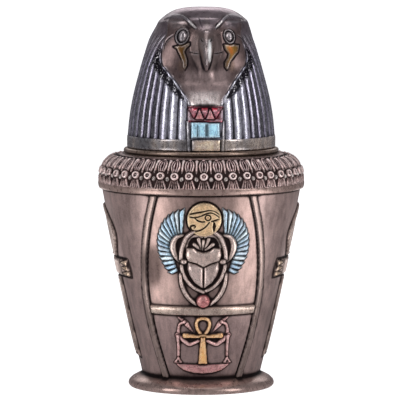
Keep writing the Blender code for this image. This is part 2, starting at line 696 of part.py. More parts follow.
def face_depths(share, offset):
    """How far forward the face stands at a share of the head's height and an offset from its middle."""
    edge_radius = headcloth_radius(share) + FACE_RIM
    edge = face_angle(share)
    half_width = edge_radius * math.sin(edge)
    middle = LID_BASE_RADIUS * face_line(share)
    out = min(1.0, abs(offset) / half_width)
    depth = middle + (edge_radius * math.cos(edge) - middle) * out**FACE_ROUNDING
    across_beak = abs(offset) / (LID_BASE_RADIUS * beak_width(share))
    if across_beak < 1:
        depth += LID_BASE_RADIUS * beak_depth(share) * (1 - across_beak**BEAK_FLATNESS) ** BEAK_FALL
    return half_width, depth


def face_place(across, height, lift):
    """A point of the face at an offset and height in metres, raised by lift along the surface's normal."""
    share = (height - LID_BASE_HEIGHT) / HEAD_HEIGHT

    def spot(offset, level):
        return Vector((offset, -face_depths((level - LID_BASE_HEIGHT) / HEAD_HEIGHT, offset)[1], level))

    middle = Vector((across, -face_depths(share, across)[1], height))
    along = spot(across + SLOPE_STEP, height) - spot(across - SLOPE_STEP, height)
    up = spot(across, height + SLOPE_STEP) - spot(across, height - SLOPE_STEP)
    return middle + along.cross(up).normalized() * lift


def face(parent):
    """The falcon's face as a closed mask that sinks into the headcloth."""
    mesh = bmesh.new()
    columns = (-1, -0.85, -0.65, -0.38, -0.25, -0.12, 0, 0.12, 0.25, 0.38, 0.65, 0.85, 1)
    shares = (0.2, 0.26, 0.305, 0.345, 0.392, 0.45, 0.507, 0.532, 0.565, 0.614, 0.67, 0.733, 0.79, 0.84,
              0.88, 0.918, 0.95)
    front, rear = [], []
    for share in shares:
        half_width, _ = face_depths(share, 0)
        height = head_level(share)
        front_row, rear_row = [], []
        for column in columns:
            offset = column * half_width
            depth = face_depths(share, offset)[1]
            front_row.append(mesh.verts.new((offset, -depth, height)))
            shrunk = FACE_ROOT * headcloth_radius(share) / math.hypot(offset, depth)
            rear_row.append(mesh.verts.new((offset * shrunk, -depth * shrunk, height)))
        front.append(front_row)
        rear.append(rear_row)
    for sheet in (front, rear):
        for lower, upper in zip(sheet, sheet[1:]):
            for index in range(len(columns) - 1):
                mesh.faces.new((lower[index], lower[index + 1], upper[index + 1], upper[index]))
    around_front, around_rear = [
        sheet[0] + [row[-1] for row in sheet[1:]] + sheet[-1][-2::-1] + [row[0] for row in sheet[-2:0:-1]]
        for sheet in (front, rear)
    ]
    for index in range(len(around_front)):
        following = (index + 1) % len(around_front)
        edge = (around_front[index], around_front[following], around_rear[following], around_rear[index])
        mesh.faces.new(edge)
    return new_object("face", mesh, hidden=True, parent=parent)


def eyes_and_marks(parent):
    """Each eye is a ball in a ring, with a brow above it and a painted mark that drops below it."""
    rings = ((0.95, 0.37 * EYE_RISE), (0.7, 0.1 * EYE_RISE), (0.58, 0.58 * EYE_RISE), (0, EYE_RISE))
    pieces = []
    for side, label in ((1, "right"), (-1, "left")):
        unit = side * LID_BASE_RADIUS
        outline = round_outline(EYE_ACROSS * unit, head_level(EYE_LEVEL), EYE_RADIUS, EYE_SEGMENTS)
        pieces.append(mound(f"{label} eye", face_place, outline, rings, parent))
        for part_name, line, rise in (("mark", MARK_LINE, MARK_RISE), ("brow", BROW_LINE, BROW_RISE)):
            path = [(across * unit, head_level(share), width * unit) for across, share, width in line]
            pieces.append(ribbon(f"{label} {part_name}", face_place, path, rise, parent=parent))
    return pieces


def chest_panel(parent):
    """The plates of the front panel: a toothed band, a row of bars and a plain plate in the base band."""

    def place(angle, height, lift):
        share = max(0.0, (height - LID_BASE_HEIGHT) / HEAD_HEIGHT)
        return turned_point(angle, headcloth_radius(share) + lift, height)

    band_foot, band_top = [head_level(share) for share in TOOTHED_BAND_LEVELS]
    row_foot, row_top = [head_level(share) for share in BAR_ROW_LEVELS]
    plate_foot, plate_top = [share * LID_BASE_HEIGHT for share in BASE_PLATE_LEVELS]
    row_reach = PANEL_ANGLE * BAR_ROW_REACH
    plate_reach = PANEL_ANGLE * BASE_PLATE_REACH
    pieces = [
        plate("toothed band", place, -PANEL_ANGLE, PANEL_ANGLE, band_foot, band_top, PANEL_RISE, 5, parent),
        plate("bar row", place, -row_reach, row_reach, row_foot, row_top, PANEL_RISE, 5, parent),
        plate("base plate", place, -plate_reach, plate_reach, plate_foot, plate_top,
              PANEL_RISE + PLATE_RISE, 3, parent),
    ]
    for side in (1, -1):
        reaches = sorted(side * PANEL_ANGLE * share for share in PANEL_EDGE_REACH)
        edge_foot, edge_top = PANEL_EDGE_FOOT * LID_BASE_HEIGHT, head_level(PANEL_EDGE_TOP)
        pieces.append(plate(f"panel edge {side}", place, *reaches, edge_foot, edge_top,
                            PANEL_EDGE_RISE * PANEL_RISE, 1, parent))
    return pieces


def build_lid():
    """The lid, hollow underneath, with its spigot standing in the jar's mouth."""
    lid = turned_solid("lid", lid_rows())
    lid.location.z = LID_SEAT
    lid.rotation_euler.z = LID_TURN
    pieces = [face(lid)] + eyes_and_marks(lid) + chest_panel(lid)
    unite(lid, pieces)
    finish(lid, "dark gunmetal bronze", (0.16, 0.15, 0.18), 0.4, 0.7)
    return lid


clear_scene()
build_jar()
build_lid()
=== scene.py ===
"""A canopic jar with a falcon-headed lid: a cast souvenir in antique bronze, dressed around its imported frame."""

import logging
import math
from dataclasses import dataclass, replace
from enum import Enum

import bpy
import numpy as np
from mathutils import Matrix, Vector


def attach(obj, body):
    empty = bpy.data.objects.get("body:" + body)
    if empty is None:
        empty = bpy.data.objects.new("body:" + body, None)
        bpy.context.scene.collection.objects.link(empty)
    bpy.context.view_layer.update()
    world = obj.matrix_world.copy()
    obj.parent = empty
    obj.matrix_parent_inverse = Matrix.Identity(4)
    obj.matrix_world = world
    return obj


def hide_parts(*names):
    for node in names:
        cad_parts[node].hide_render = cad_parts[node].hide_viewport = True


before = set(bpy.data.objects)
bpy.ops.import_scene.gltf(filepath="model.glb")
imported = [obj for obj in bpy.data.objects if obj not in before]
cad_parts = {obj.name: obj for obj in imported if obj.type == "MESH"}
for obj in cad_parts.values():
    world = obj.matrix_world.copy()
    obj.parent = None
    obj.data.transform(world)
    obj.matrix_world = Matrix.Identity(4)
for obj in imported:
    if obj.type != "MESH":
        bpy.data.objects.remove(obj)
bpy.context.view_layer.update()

Array = np.ndarray
Colour = tuple[float, float, float]
Points = tuple[tuple[float, ...], ...]
LOG = logging.getLogger("canopic jar")
MM = 0.001
PHOTO_WIDTH = 404
FAR = 99.0  # further than any point of a drawing lies from its shapes, in mm
MARGIN = 1.5  # how far round a shape the sheet can change, in mm
GAP_MIDDLE = -0.3  # where the dark gap round a shape lies, in mm inside its edge
GAP_WIDTH = 0.38
WELD = 2e-6  # how close a piece's points are joined, in m


class Facing(Enum):
    """The sides of the jar that carry a drawing of their own, as angles from its front."""

    RIGHT = math.pi / 2
    BACK = math.pi
    LEFT = -math.pi / 2


# Numbers and curves


def ease(values: Array, low: float, high: float) -> Array:
    """A smooth step from 0 at low to 1 at high."""
    share = np.clip((values - low) / (high - low), 0, 1)
    return share * share * (3 - 2 * share)


def bump(values: Array, middle: float, width: float) -> Array:
    """A bell of height 1 about a middle."""
    return np.exp(-(((values - middle) / width) ** 2))


def wrapped(angles: Array) -> Array:
    """Angles brought to within half a turn of zero."""
    return (angles + math.pi) % math.tau - math.pi


def through(points: Points, at: Array | float) -> Array:
    """A curve through points in rising order, which never overshoots them.

    Args:
        points: (place, value) pairs.
        at: The places where the curve is read.

    Returns:
        The values at those places.
    """
    places, values = np.array(points, float).T
    steps = np.diff(places)
    rises = np.diff(values) / steps
    product = rises[:-1] * rises[1:]
    total = np.where(rises[:-1] + rises[1:] == 0, 1, rises[:-1] + rises[1:])
    slopes = np.concatenate([rises[:1], np.where(product > 0, 2 * product / total, 0), rises[-1:]])
    at = np.clip(np.asarray(at, float), places[0], places[-1])
    index = np.clip(np.searchsorted(places, at, side="right") - 1, 0, len(steps) - 1)
    share = (at - places[index]) / steps[index]
    blend = share * share * (3 - 2 * share)
    leave = slopes[index] * steps[index] * share * (1 - share) ** 2
    arrive = slopes[index + 1] * steps[index] * share * share * (1 - share)
    return values[index] * (1 - blend) + values[index + 1] * blend + leave - arrive


def bent(points: Points, closed: bool = False, steps: int = 5) -> Array:
    """A smooth curve through drawn points.

    Args:
        points: The points, each of two or more numbers.
        closed: Whether the last point leads to the first.
        steps: How many new points stand for each span.

    Returns:
        The denser points.
    """
    spots = np.array(points, float)
    if closed:
        ends = np.vstack([spots[-1:], spots, spots[:2]])
    else:
        ends = np.vstack([2 * spots[0] - spots[1], spots, 2 * spots[-1] - spots[-2]])
    share = (np.arange(steps) / steps)[:, None]
    spans = []
    for one, two, three, four in zip(ends, ends[1:], ends[2:], ends[3:]):
        linear = (three - one) * share
        square = (2 * one - 5 * two + 4 * three - four) * share**2
        cube = (3 * two - one - 3 * three + four) * share**3
        spans.append(0.5 * (2 * two + linear + square + cube))
    return np.vstack(spans) if closed else np.vstack([*spans, spots[-1:]])


def mirrored(points: Points, side: int = -1) -> Points:
    """The same drawn points on one side of the middle."""
    return tuple((side * point[0], *point[1:]) for point in points)


def both(half: Points) -> Points:
    """An outline from its drawn half, with the mirror image of the half on the way back."""
    return (*half, *mirrored(half)[::-1])


def beside(across: Array, up: Array, one: Array, other: Array) -> tuple[Array, Array]:
    """Where points lie beside a straight span.

    Args:
        across: How far the points lie across.
        up: How high they lie.
        one: The span's start.
        other: Its end.

    Returns:
        How far along the span they lie, from 0 to 1, and how far from it.
    """
    along = other[:2] - one[:2]
    share = ((across - one[0]) * along[0] + (up - one[1]) * along[1]) / (along @ along + 1e-9)
    share = np.clip(share, 0, 1)
    return share, np.hypot(across - one[0] - share * along[0], up - one[1] - share * along[1])


def spread(bands: Points) -> Array:
    """Spreads the columns' angles.

    Args:
        bands: The (start, end, step) of each band in degrees.

    Returns:
        The angles, with each band's start and without its end.
    """
    parts = []
    for start, end, step in bands:
        count = round((end - start) / step)
        parts.append(start + (end - start) * np.arange(count) / count)
    return np.radians(np.concatenate(parts))


def softened(values: Array, rounds: int) -> Array:
    """Blurs a sheet's values round its columns and along its rows.

    Args:
        values: The values at its points.
        rounds: How often they are blurred.

    Returns:
        The blurred values.
    """
    for _ in range(rounds):
        values = (np.roll(values, 1, 1) + 2 * values + np.roll(values, -1, 1)) / 4
        padded = np.pad(values, ((1, 1), *((0, 0),) * (values.ndim - 1)), mode="edge")
        values = (padded[:-2] + 2 * padded[1:-1] + padded[2:]) / 4
    return values


# Coats and drawn relief


@dataclass(frozen=True)
class Coat:
    """A colour of the finish, how metallic it is and how smooth it is rubbed."""

    colour: Colour
    metal: float = 0.8
    polish: float = 0.0


@dataclass
class Patch:
    """Where a drawn shape lies: its window, the depth inside its edge and its half width there, in mm."""

    window: Array
    inside: Array
    half: Array


@dataclass
class Relief:
    """A drawing in mm on a sheet, whose heights, coats and dark wash build up shape by shape."""

    across: Array
    up: Array
    height: Array
    colour: Array
    metal: Array
    wash: Array
    polish: Array
    coarse: float = 0.0

    @classmethod
    def blank(cls, across: Array, up: Array, coat: Coat) -> "Relief":
        """Starts a flat drawing.

        Args:
            across: How far its points lie across.
            up: How high they lie.
            coat: Its one coat.

        Returns:
            The drawing.
        """
        flat = [np.full(across.shape, value) for value in (0.0, coat.metal, 0.0, coat.polish)]
        colour = np.ones((*across.shape, 3)) * np.array(coat.colour)
        return cls(across, up, flat[0], colour, *flat[1:])

    def layers(self, rows: slice = slice(None)) -> list[Array]:
        """The layers of some of the rows, which change with these."""
        return [layer[rows] for layer in (self.height, self.colour, self.metal, self.wash, self.polish)]

    def seen_from(self, across: Array, coarse: float = 0.0) -> "Relief":
        """The same layers through another measure across, with softer edges where its columns lie far apart."""
        return Relief(across, self.up, *self.layers(), coarse)

    def _window(self, spots: Array, margin: float) -> Array:
        """The part of the sheet within a margin of the spots."""
        low, high = spots[:, :2].min(0) - margin, spots[:, :2].max(0) + margin
        return (self.across > low[0]) & (self.across < high[0]) & (self.up > low[1]) & (self.up < high[1])

    def line(self, points: Points | Array, closed: bool = False, straight: bool = False) -> Patch:
        """A band along a path.

        Args:
            points: (across, up, width) points.
            closed: Whether the path is a loop.
            straight: Whether its spans are straight.

        Returns:
            The patch of the band.
        """
        spots = np.array(points, float) if straight else bent(points, closed)
        if closed:
            spots = np.vstack([spots, spots[:1]])
        window = self._window(spots, spots[:, 2].max() / 2 + MARGIN)
        across, up = self.across[window], self.up[window]
        inside = np.full(across.shape, -FAR)
        half = np.ones(across.shape)
        for one, other in zip(spots, spots[1:]):
            share, away = beside(across, up, one, other)
            reach = (one[2] + (other[2] - one[2]) * share) / 2
            nearer = reach - away > inside
            inside = np.where(nearer, reach - away, inside)
            half = np.where(nearer, reach, half)
        return Patch(window, inside, half)

    def stripe(self, left: float, low: float, right: float, high: float, wide: float) -> Patch:
        """A straight band of one width between two points."""
        return self.line(((left, low, wide), (right, high, wide)), straight=True)

    def area(self, points: Points | list, smooth: bool = False, margin: float = MARGIN) -> Patch:
        """A closed outline.

        Args:
            points: Its (across, up) points.
            smooth: Whether a smooth curve goes through them.
            margin: How far round it the sheet can change.

        Returns:
            The patch inside it.
        """
        spots = bent(points, True) if smooth else np.array(points, float)
        window = self._window(spots, margin)
        across, up = self.across[window], self.up[window]
        away = np.full(across.shape, FAR)
        within = np.zeros(across.shape, bool)
        for one, other in zip(spots, np.roll(spots, -1, 0)):
            away = np.minimum(away, beside(across, up, one, other)[1])
            if one[1] != other[1]:
                crosses = (one[1] > up) != (other[1] > up)
                within ^= crosses & (across < one[0] + (other[0] - one[0]) * (up - one[1]) / (other[1] - one[1]))
        inside = np.where(within, away, -away)
        return Patch(window, inside, np.full(across.shape, max(0.3, inside.max() if inside.size else 1)))

    def box(self, left: float, low: float, right: float, high: float) -> Patch:
        """An upright rectangle."""
        return self.area(((left, low), (right, low), (right, high), (left, high)))

    def oval(self, across: float, up: float, wide: float, high: float, lean: float = 0) -> Patch:
        """An oval.

        Args:
            across: Its middle, across.
            up: Its middle's height.
            wide: Its half width.
            high: Its half height.
            lean: How many degrees it leans.

        Returns:
            The patch inside it.
        """
        turn = math.radians(lean)
        turns = np.arange(28) * math.tau / 28
        ring = np.stack([wide * np.cos(turns), high * np.sin(turns)], 1)
        spin = np.array([[math.cos(turn), math.sin(turn)], [-math.sin(turn), math.cos(turn)]])
        return self.area(tuple(map(tuple, ring @ spin + (across, up))))

    def mould(self, patch: Patch, coat: Coat, rise: float, edge: float = 0.5, crown: float = 0.0,
              gap: float = 0.8, base: float = 0.0) -> None:
        """Raises a shape in its coat, with a dark gap round it.

        Args:
            patch: The shape.
            coat: Its coat.
            rise: How far its edge stands up.
            edge: How wide its rounded edge is.
            crown: How much further its middle stands up.
            gap: How dark and deep the gap round it is.
            base: The level that it stands on.
        """
        around = gap * bump(patch.inside, GAP_MIDDLE - self.coarse, GAP_WIDTH + self.coarse)
        ground = self.height[patch.window]
        ground = ground - around * np.maximum(ground - base, 0)
        rounding = 1 - (1 - np.clip(patch.inside / patch.half, 0, 1)) ** 2
        slope = np.clip(patch.inside / (edge + self.coarse), 0, 1)
        lift = rise * np.sin(slope * math.pi / 2) + crown * rounding
        self.height[patch.window] = np.where(patch.inside > 0, np.maximum(ground, base + lift), ground)
        self.wash[patch.window] = np.maximum(self.wash[patch.window], around)
        self.paint(patch, coat)

    def sink(self, patch: Patch, depth: float, wash: float = 1.0, edge: float = 0.3) -> None:
        """Cuts a shape into what is there.

        Args:
            patch: The shape.
            depth: How deep it is.
            wash: How dark the wash in it is.
            edge: How wide its sloping edge is.
        """
        share = ease(patch.inside, -0.12 - 0.5 * self.coarse, edge + 0.5 * self.coarse)
        self.height[patch.window] -= depth * share
        self.wash[patch.window] = np.maximum(self.wash[patch.window], wash * share)

    def ridge(self, coat: Coat, path: Points, *shape: float, side: int = 1) -> None:
        """Moulds a band along a path on one side of the middle, by its rise, edge, crown and gap."""
        self.mould(self.line(mirrored(path, side)), coat, *shape)

    def plate(self, coat: Coat, outline: Points, *shape: float, side: int = 1) -> None:
        """Moulds an outline on one side of the middle, by its rise, edge, crown, gap and base."""
        self.mould(self.area(mirrored(outline, side)), coat, *shape)

    def groove(self, path: Points, *shape: float, side: int = 1) -> None:
        """Sinks a band along a path on one side of the middle, by its depth, wash and edge."""
        self.sink(self.line(mirrored(path, side)), *shape)

    def paint(self, patch: Patch, coat: Coat, soft: float = 0.22, share: float = 1.0) -> None:
        """Lays a coat on a shape and takes the wash off it.

        Args:
            patch: The shape.
            coat: The coat.
            soft: How soft its edge is.
            share: How much of what is there it hides.
        """
        soft += 0.7 * self.coarse
        cover = share * ease(patch.inside, -soft, soft)
        self.colour[patch.window] += cover[:, None] * (np.array(coat.colour) - self.colour[patch.window])
        self.metal[patch.window] += cover * (coat.metal - self.metal[patch.window])
        self.polish[patch.window] += cover * (coat.polish - self.polish[patch.window])
        self.wash[patch.window] *= 1 - cover

    def tint(self, share: Array, colour: Colour | Array) -> None:
        """Brings the colour towards another one by each point's share."""
        self.colour += share[..., None] * (np.array(colour) - self.colour)

    def darken(self, wash: Array) -> None:
        """Lays dark wash by each point's share, where there isn't more of it."""
        self.wash[:] = np.maximum(self.wash, wash)

    def stain(self, patch: Patch, wash: float, soft: float = 0.5) -> None:
        """Lays dark wash on a shape without changing its height."""
        cover = wash * ease(patch.inside, -soft, soft)
        self.wash[patch.window] = np.maximum(self.wash[patch.window], cover)

    def clean(self, patch: Patch, share: float, soft: float = 1.0) -> None:
        """Keeps the dark wash off a shape.

        Args:
            patch: The shape.
            share: How much of the wash goes.
            soft: How soft its edge is.
        """
        cover = -share * ease(patch.inside, -soft, soft)
        wash = self.wash[patch.window]
        self.wash[patch.window] = np.where(cover < 0, np.minimum(wash * (1 + cover), cover), wash)


# Sheets of points that close on themselves


@dataclass
class Sheet:
    """A turned surface: columns at angles from the front, and rows of radii and heights in mm."""

    angles: Array
    radii: Array
    heights: Array

    @classmethod
    def turned(cls, rows: Array, angles: Array) -> "Sheet":
        """Turns rows round the axis.

        Args:
            rows: The (radius, height) rows.
            angles: The columns' angles.

        Returns:
            The sheet.
        """
        full = np.ones((len(rows), 1)) * angles
        return cls(full, rows[:, :1] * np.ones_like(full), rows[:, 1:] * np.ones_like(full))

    def points(self) -> Array:
        """The points of the sheet."""
        return np.stack([self.radii * np.sin(self.angles), -self.radii * np.cos(self.angles),
                         self.heights * np.ones_like(self.angles)], -1)

    @staticmethod
    def normals(points: Array) -> Array:
        """The outward directions at a sheet's points.

        Args:
            points: The rows and columns of points.

        Returns:
            A direction of length 1 for each.
        """
        around = np.roll(points, -1, 1) - np.roll(points, 1, 1)
        facing = np.cross(around, np.gradient(points, axis=0))
        return facing / np.maximum(np.linalg.norm(facing, axis=-1, keepdims=True), 1e-9)

    def raised(self, lift: Array) -> Array:
        """The points, each moved outwards by its lift."""
        points = self.points()
        return points + self.normals(points) * lift[..., None]


def hollows_and_edges(points: Array) -> tuple[Array, Array]:
    """How far each point lies below and above its surroundings.

    Args:
        points: The rows and columns of points in mm.

    Returns:
        A mask of the hollows and a mask of the proud edges, from 0 to 1.
    """
    facing = Sheet.normals(points)
    near, wide, broad = (np.sum((softened(points, rounds) - points) * facing, -1) for rounds in (3, 22, 70))
    hollow = np.maximum(ease(near, 0.01, 0.13), 0.85 * ease(wide, 0.04, 0.42))
    hollow = np.maximum(hollow, 0.5 * ease(broad, 0.05, 0.7))
    edge = np.maximum(ease(-near, 0.006, 0.08), 0.6 * ease(-wide, 0.05, 0.40))
    return softened(hollow, 1), edge


def woven(name: str, points: Array, relief: Relief) -> bpy.types.Object:
    """Makes a closed piece from a grid, whose points take their places, coats and age.

    Args:
        name: The piece's name.
        points: Its rows and columns of points in mm. The columns go round once.
        relief: The layers that its coats and wash come from.

    Returns:
        The piece, with its seams closed and its faces outwards.
    """
    rows, columns = points.shape[:2]
    hollow, edge = hollows_and_edges(points)
    wash = np.clip(np.maximum(relief.wash, hollow + np.minimum(relief.wash, 0)), 0, 1)
    coat = np.concatenate([relief.colour, relief.metal[..., None]], -1)
    worn = edge * (1 - np.maximum(relief.wash, 0)) * (1 - 0.65 * relief.polish)
    age = np.stack([wash, worn, relief.polish, np.ones_like(wash)], -1)
    bpy.ops.object.select_all(action="DESELECT")
    bpy.ops.mesh.primitive_grid_add(x_subdivisions=columns, y_subdivisions=rows - 1, size=1, calc_uvs=False)
    piece = bpy.context.object
    piece.name = piece.data.name = name
    mesh = piece.data
    flat = np.empty(len(mesh.vertices) * 3, np.float32)
    mesh.vertices.foreach_get("co", flat)
    flat = np.round(flat.reshape(-1, 3), 5)
    order = np.lexsort((flat[:, 0], flat[:, 1]))
    for values, layer in ((points * MM, None), (coat, "coat"), (age, "age")):
        closed = np.concatenate([values, values[:, :1]], 1).reshape(len(flat), -1)
        placed = np.empty_like(closed, np.float32)
        placed[order] = closed
        if layer is None:
            mesh.vertices.foreach_set("co", placed.ravel())
        else:
            mesh.attributes.new(layer, "FLOAT_COLOR", "POINT").data.foreach_set("color", placed.ravel())
    bpy.ops.object.mode_set(mode="EDIT")
    bpy.ops.mesh.select_all(action="SELECT")
    bpy.ops.mesh.remove_doubles(threshold=WELD)
    bpy.ops.mesh.normals_make_consistent(inside=False)
    bpy.ops.object.mode_set(mode="OBJECT")
    bpy.ops.object.shade_smooth()
    return piece


# Shader maths and finishes


class Sock:
    """A shader value in an expression, where each sign adds its Math node."""

    def __init__(self, bench: "Bench", socket: bpy.types.NodeSocket) -> None:
        """Wraps a socket of a bench's node."""
        self.bench = bench
        self.socket = socket

    def maths(self, operation: str, *values: "Sock | float") -> "Sock":
        """A Math node on values, in order."""
        node = self.bench.node("ShaderNodeMath", {"operation": operation}, dict(enumerate(values)))
        return Sock(self.bench, node.outputs[0])

    def __add__(self, other: "Sock | float") -> "Sock":
        """self + other."""
        return self.maths("ADD", self, other)

    def __sub__(self, other: "Sock | float") -> "Sock":
        """self - other."""
        return self.maths("SUBTRACT", self, other)

    def __rsub__(self, other: "Sock | float") -> "Sock":
        """other - self."""
        return self.maths("SUBTRACT", other, self)

    def __mul__(self, other: "Sock | float") -> "Sock":
        """self * other."""
        return self.maths("MULTIPLY", self, other)

    __radd__ = __add__
    __rmul__ = __mul__

    def ramp(self, low: float, high: float, start: float = 0.0, end: float = 1.0) -> "Sock":
        """A smooth step of this value from one level to another.

        Args:
            low: The value at which it starts.
            high: The value at which it ends.
            start: Its level below.
            end: Its level above.

        Returns:
            The stepped value.
        """
        node = self.bench.node("ShaderNodeMapRange", {"interpolation_type": "SMOOTHSTEP"},
                               {0: self, 1: low, 2: high, 3: start, 4: end})
        return Sock(self.bench, node.outputs[0])


class Bench:
    """The workbench of one material, which makes its nodes."""

    def __init__(self, name: str) -> None:
        """Starts an empty material.

        Args:
            name: The material's name.
        """
        self.material = bpy.data.materials.new(name)
        self.material.use_nodes = True
        self.tree = self.material.node_tree
        self.tree.nodes.clear()

    def node(self, kind: str, settings: dict | None = None, inputs: dict | None = None) -> bpy.types.Node:
        """Makes a node.

        Args:
            kind: The node's type.
            settings: Its settings, which are set first.
            inputs: The values or links of its sockets, by name or number.

        Returns:
            The node.
        """
        node = self.tree.nodes.new(kind)
        for key, value in (settings or {}).items():
            setattr(node, key, value)
        for key, value in (inputs or {}).items():
            if isinstance(value, Sock):
                self.tree.links.new(value.socket, node.inputs[key])
            else:
                node.inputs[key].default_value = value
        return node

    def layer(self, name: str) -> tuple[Sock, Sock]:
        """A painted layer's colour and its fourth value."""
        node = self.node("ShaderNodeAttribute", {"attribute_name": name})
        return Sock(self, node.outputs["Color"]), Sock(self, node.outputs["Alpha"])

    def parted(self, colour: Sock) -> list[Sock]:
        """The three values of a colour."""
        return [Sock(self, value) for value in self.node("ShaderNodeSeparateColor", {}, {0: colour}).outputs]

    def noise(self, size: float, detail: float = 3, stretch: Colour = (1, 1, 1), rough: float = 0.55) -> Sock:
        """A cloudy value with features of a size in mm, drawn out by stretch.

        Args:
            size: The size in mm.
            detail: How many finer layers it has.
            stretch: How far it is drawn out along each axis.
            rough: How strong the finer layers are.

        Returns:
            The value, from 0 to 1.
        """
        place = self.node("ShaderNodeTexCoord").outputs["Object"]
        scale = tuple(1 / (size * MM * part) for part in stretch)
        moved = self.node("ShaderNodeVectorMath", {"operation": "MULTIPLY"}, {0: Sock(self, place), 1: scale})
        node = self.node("ShaderNodeTexNoise", {}, {"Vector": Sock(self, moved.outputs[0]), "Scale": 1.0,
                                                    "Detail": detail, "Roughness": rough})
        return Sock(self, node.outputs[0])

    def mix(self, factor: Sock | float, one: Sock | Colour, other: Sock | Colour, blend: str = "MIX") -> Sock:
        """Two colours mixed by a factor.

        Args:
            factor: How much of the other colour shows.
            one: The first colour.
            other: The other colour.
            blend: How they mix.

        Returns:
            The mixed colour.
        """
        sides = [side if isinstance(side, Sock) else (*side, 1) for side in (one, other)]
        node = self.node("ShaderNodeMix", {"data_type": "RGBA", "blend_type": blend},
                         {0: factor, 6: sides[0], 7: sides[1]})
        return Sock(self, node.outputs[2])

    def shaded(self, inputs: dict) -> bpy.types.Material:
        """Ends the material with its shader.

        Args:
            inputs: The values or links of the shader's sockets.

        Returns:
            The material.
        """
        shader = self.node("ShaderNodeBsdfPrincipled", {}, inputs)
        self.node("ShaderNodeOutputMaterial", {}, {"Surface": Sock(self, shader.outputs[0])})
        return self.material


@dataclass(frozen=True)
class Patina:
    """An antique finish: mottled coats, dark wash in the hollows and rubbed metal on the edges."""

    name: str
    wash: Colour = (0.010, 0.006, 0.007)
    rub: Colour = (0.88, 0.62, 0.53)
    wash_share: float = 0.96
    rub_share: float = 0.75
    roughness: float = 0.29
    mottle: float = 0.20
    streaks: float = 0.17
    grain: float = 0.40
    grit: float = 0.16
    strokes: float = 0.0
    # The noises' feature sizes and the grain's depth, in mm
    cloud_size: float = 16
    speck_size: float = 2.2
    pore_size: float = 0.7
    streak_size: float = 3.0
    stroke_size: float = 0.8
    depth: float = 0.16

    def dress(self, piece: bpy.types.Object) -> None:
        """Gives a piece this finish.

        Args:
            piece: A piece with its painted layers "coat" and "age".
        """
        bench = Bench(self.name)
        coat, metal = bench.layer("coat")
        age, _ = bench.layer("age")
        hollow, edge, polish = bench.parted(age)
        calm = 1 - polish
        cloud = bench.noise(self.cloud_size, 4)
        speck = bench.noise(self.speck_size, 5, rough=0.65)
        pores = bench.noise(self.pore_size, 2)
        drawn = bench.noise(self.streak_size, 4, stretch=(1, 1, 5))
        fine = self.mottle * 0.7 * speck.ramp(0.3, 0.7, -1, 1) + self.grit * pores.ramp(0.35, 0.65, -1, 1)
        if self.strokes:
            strokes = bench.noise(self.stroke_size, 2, stretch=(1, 1, 4))
            fine = fine + self.strokes * strokes.ramp(0.36, 0.64, -1, 1)
        tone = 1 + self.mottle * 0.6 * cloud.ramp(0.3, 0.7, -1, 1) + self.streaks * drawn.ramp(0.32, 0.68, -1, 1)
        tone = tone + fine * calm
        level = bench.node("ShaderNodeCombineColor", {}, {0: tone, 1: tone, 2: tone})
        ground = bench.mix(1.0, coat, Sock(bench, level.outputs[0]), "MULTIPLY")
        worn = edge * speck.ramp(0.35, 0.6, 0.45, 1.0) * self.rub_share
        rubbed = bench.mix(worn, ground, bench.mix(0.6, ground, self.rub, "SCREEN"))
        dirt = hollow + (speck.ramp(0.5, 0.75, 0.0, 0.22) + drawn.ramp(0.55, 0.8, 0.0, 0.14)) * calm
        dirt = dirt.ramp(0.08, 0.85, 0.0, self.wash_share)
        colour = bench.mix(dirt, rubbed, self.wash)
        rough = self.roughness + 0.10 * speck.ramp(0.3, 0.7) + 0.28 * dirt - 0.06 * edge
        pits = (speck * 0.6 + pores * 0.4) * calm
        grain = bench.node("ShaderNodeBump", {}, {"Strength": self.grain, "Distance": self.depth * MM, "Height": pits})
        material = bench.shaded({"Base Color": colour, "Roughness": rough, "Specular IOR Level": 0.3,
                                 "Metallic": metal + (1 - metal) * dirt * 0.8,
                                 "Normal": Sock(bench, grain.outputs[0])})
        piece.data.materials.clear()
        piece.data.materials.append(material)


# Coats of this jar's finish, with the colours of its painted highlights and shadow
FIELD = Coat((0.42, 0.29, 0.26))
LOW_FIELD = Coat((0.50, 0.35, 0.33))
SIDE_FIELD = Coat((0.49, 0.35, 0.325))
STRIP = Coat((0.34, 0.245, 0.22), 0.8, 0.6)
PALE_BLUE = Coat((0.66, 0.84, 0.92), 0.5)
DEEP_BLUE = Coat((0.22, 0.50, 0.72), 0.5)
MARK_TAIL = Coat((0.20, 0.13, 0.10), 0.8, 0.6)
BAR = Coat((0.64, 0.47, 0.39))
GOLD = Coat((0.92, 0.62, 0.36), 0.6)
ANKH_GOLD = Coat((0.98, 0.50, 0.18), 0.55)
SCARAB = Coat((0.68, 0.51, 0.45), 0.7)
WING_CASE = Coat((0.64, 0.48, 0.44), 0.7)
LIMB = Coat((0.66, 0.49, 0.44), 0.7)
BLUE = Coat((0.36, 0.64, 0.82), 0.5)
BALL = Coat((0.52, 0.085, 0.115), 0.6)
BIRD = Coat((0.92, 0.48, 0.46), 0.6)
BOAT = Coat((0.66, 0.27, 0.28), 0.6)
SIDE_ANKH = Coat((0.68, 0.49, 0.42))
TOOTH = Coat((0.72, 0.48, 0.30))
FOOT = Coat((0.37, 0.25, 0.225), 0.8, 0.3)
RIM = Coat((0.33, 0.215, 0.19), 0.8, 0.5)
COLLAR = Coat((0.20, 0.14, 0.10))
INSIDE = Coat((0.16, 0.12, 0.11), 0.6)
PETAL = Coat((0.91, 0.57, 0.53), 0.6)
PETAL_RIM = Coat((1.0, 0.68, 0.64), 0.5)
PETAL_HEART = Coat((0.15, 0.012, 0.02), 0.5)
PEARL = Coat((0.26, 0.24, 0.22))
SILVER = Coat((0.43, 0.42, 0.50), 0.88)
CROWN = Coat((0.33, 0.25, 0.28), 0.85, 0.7)
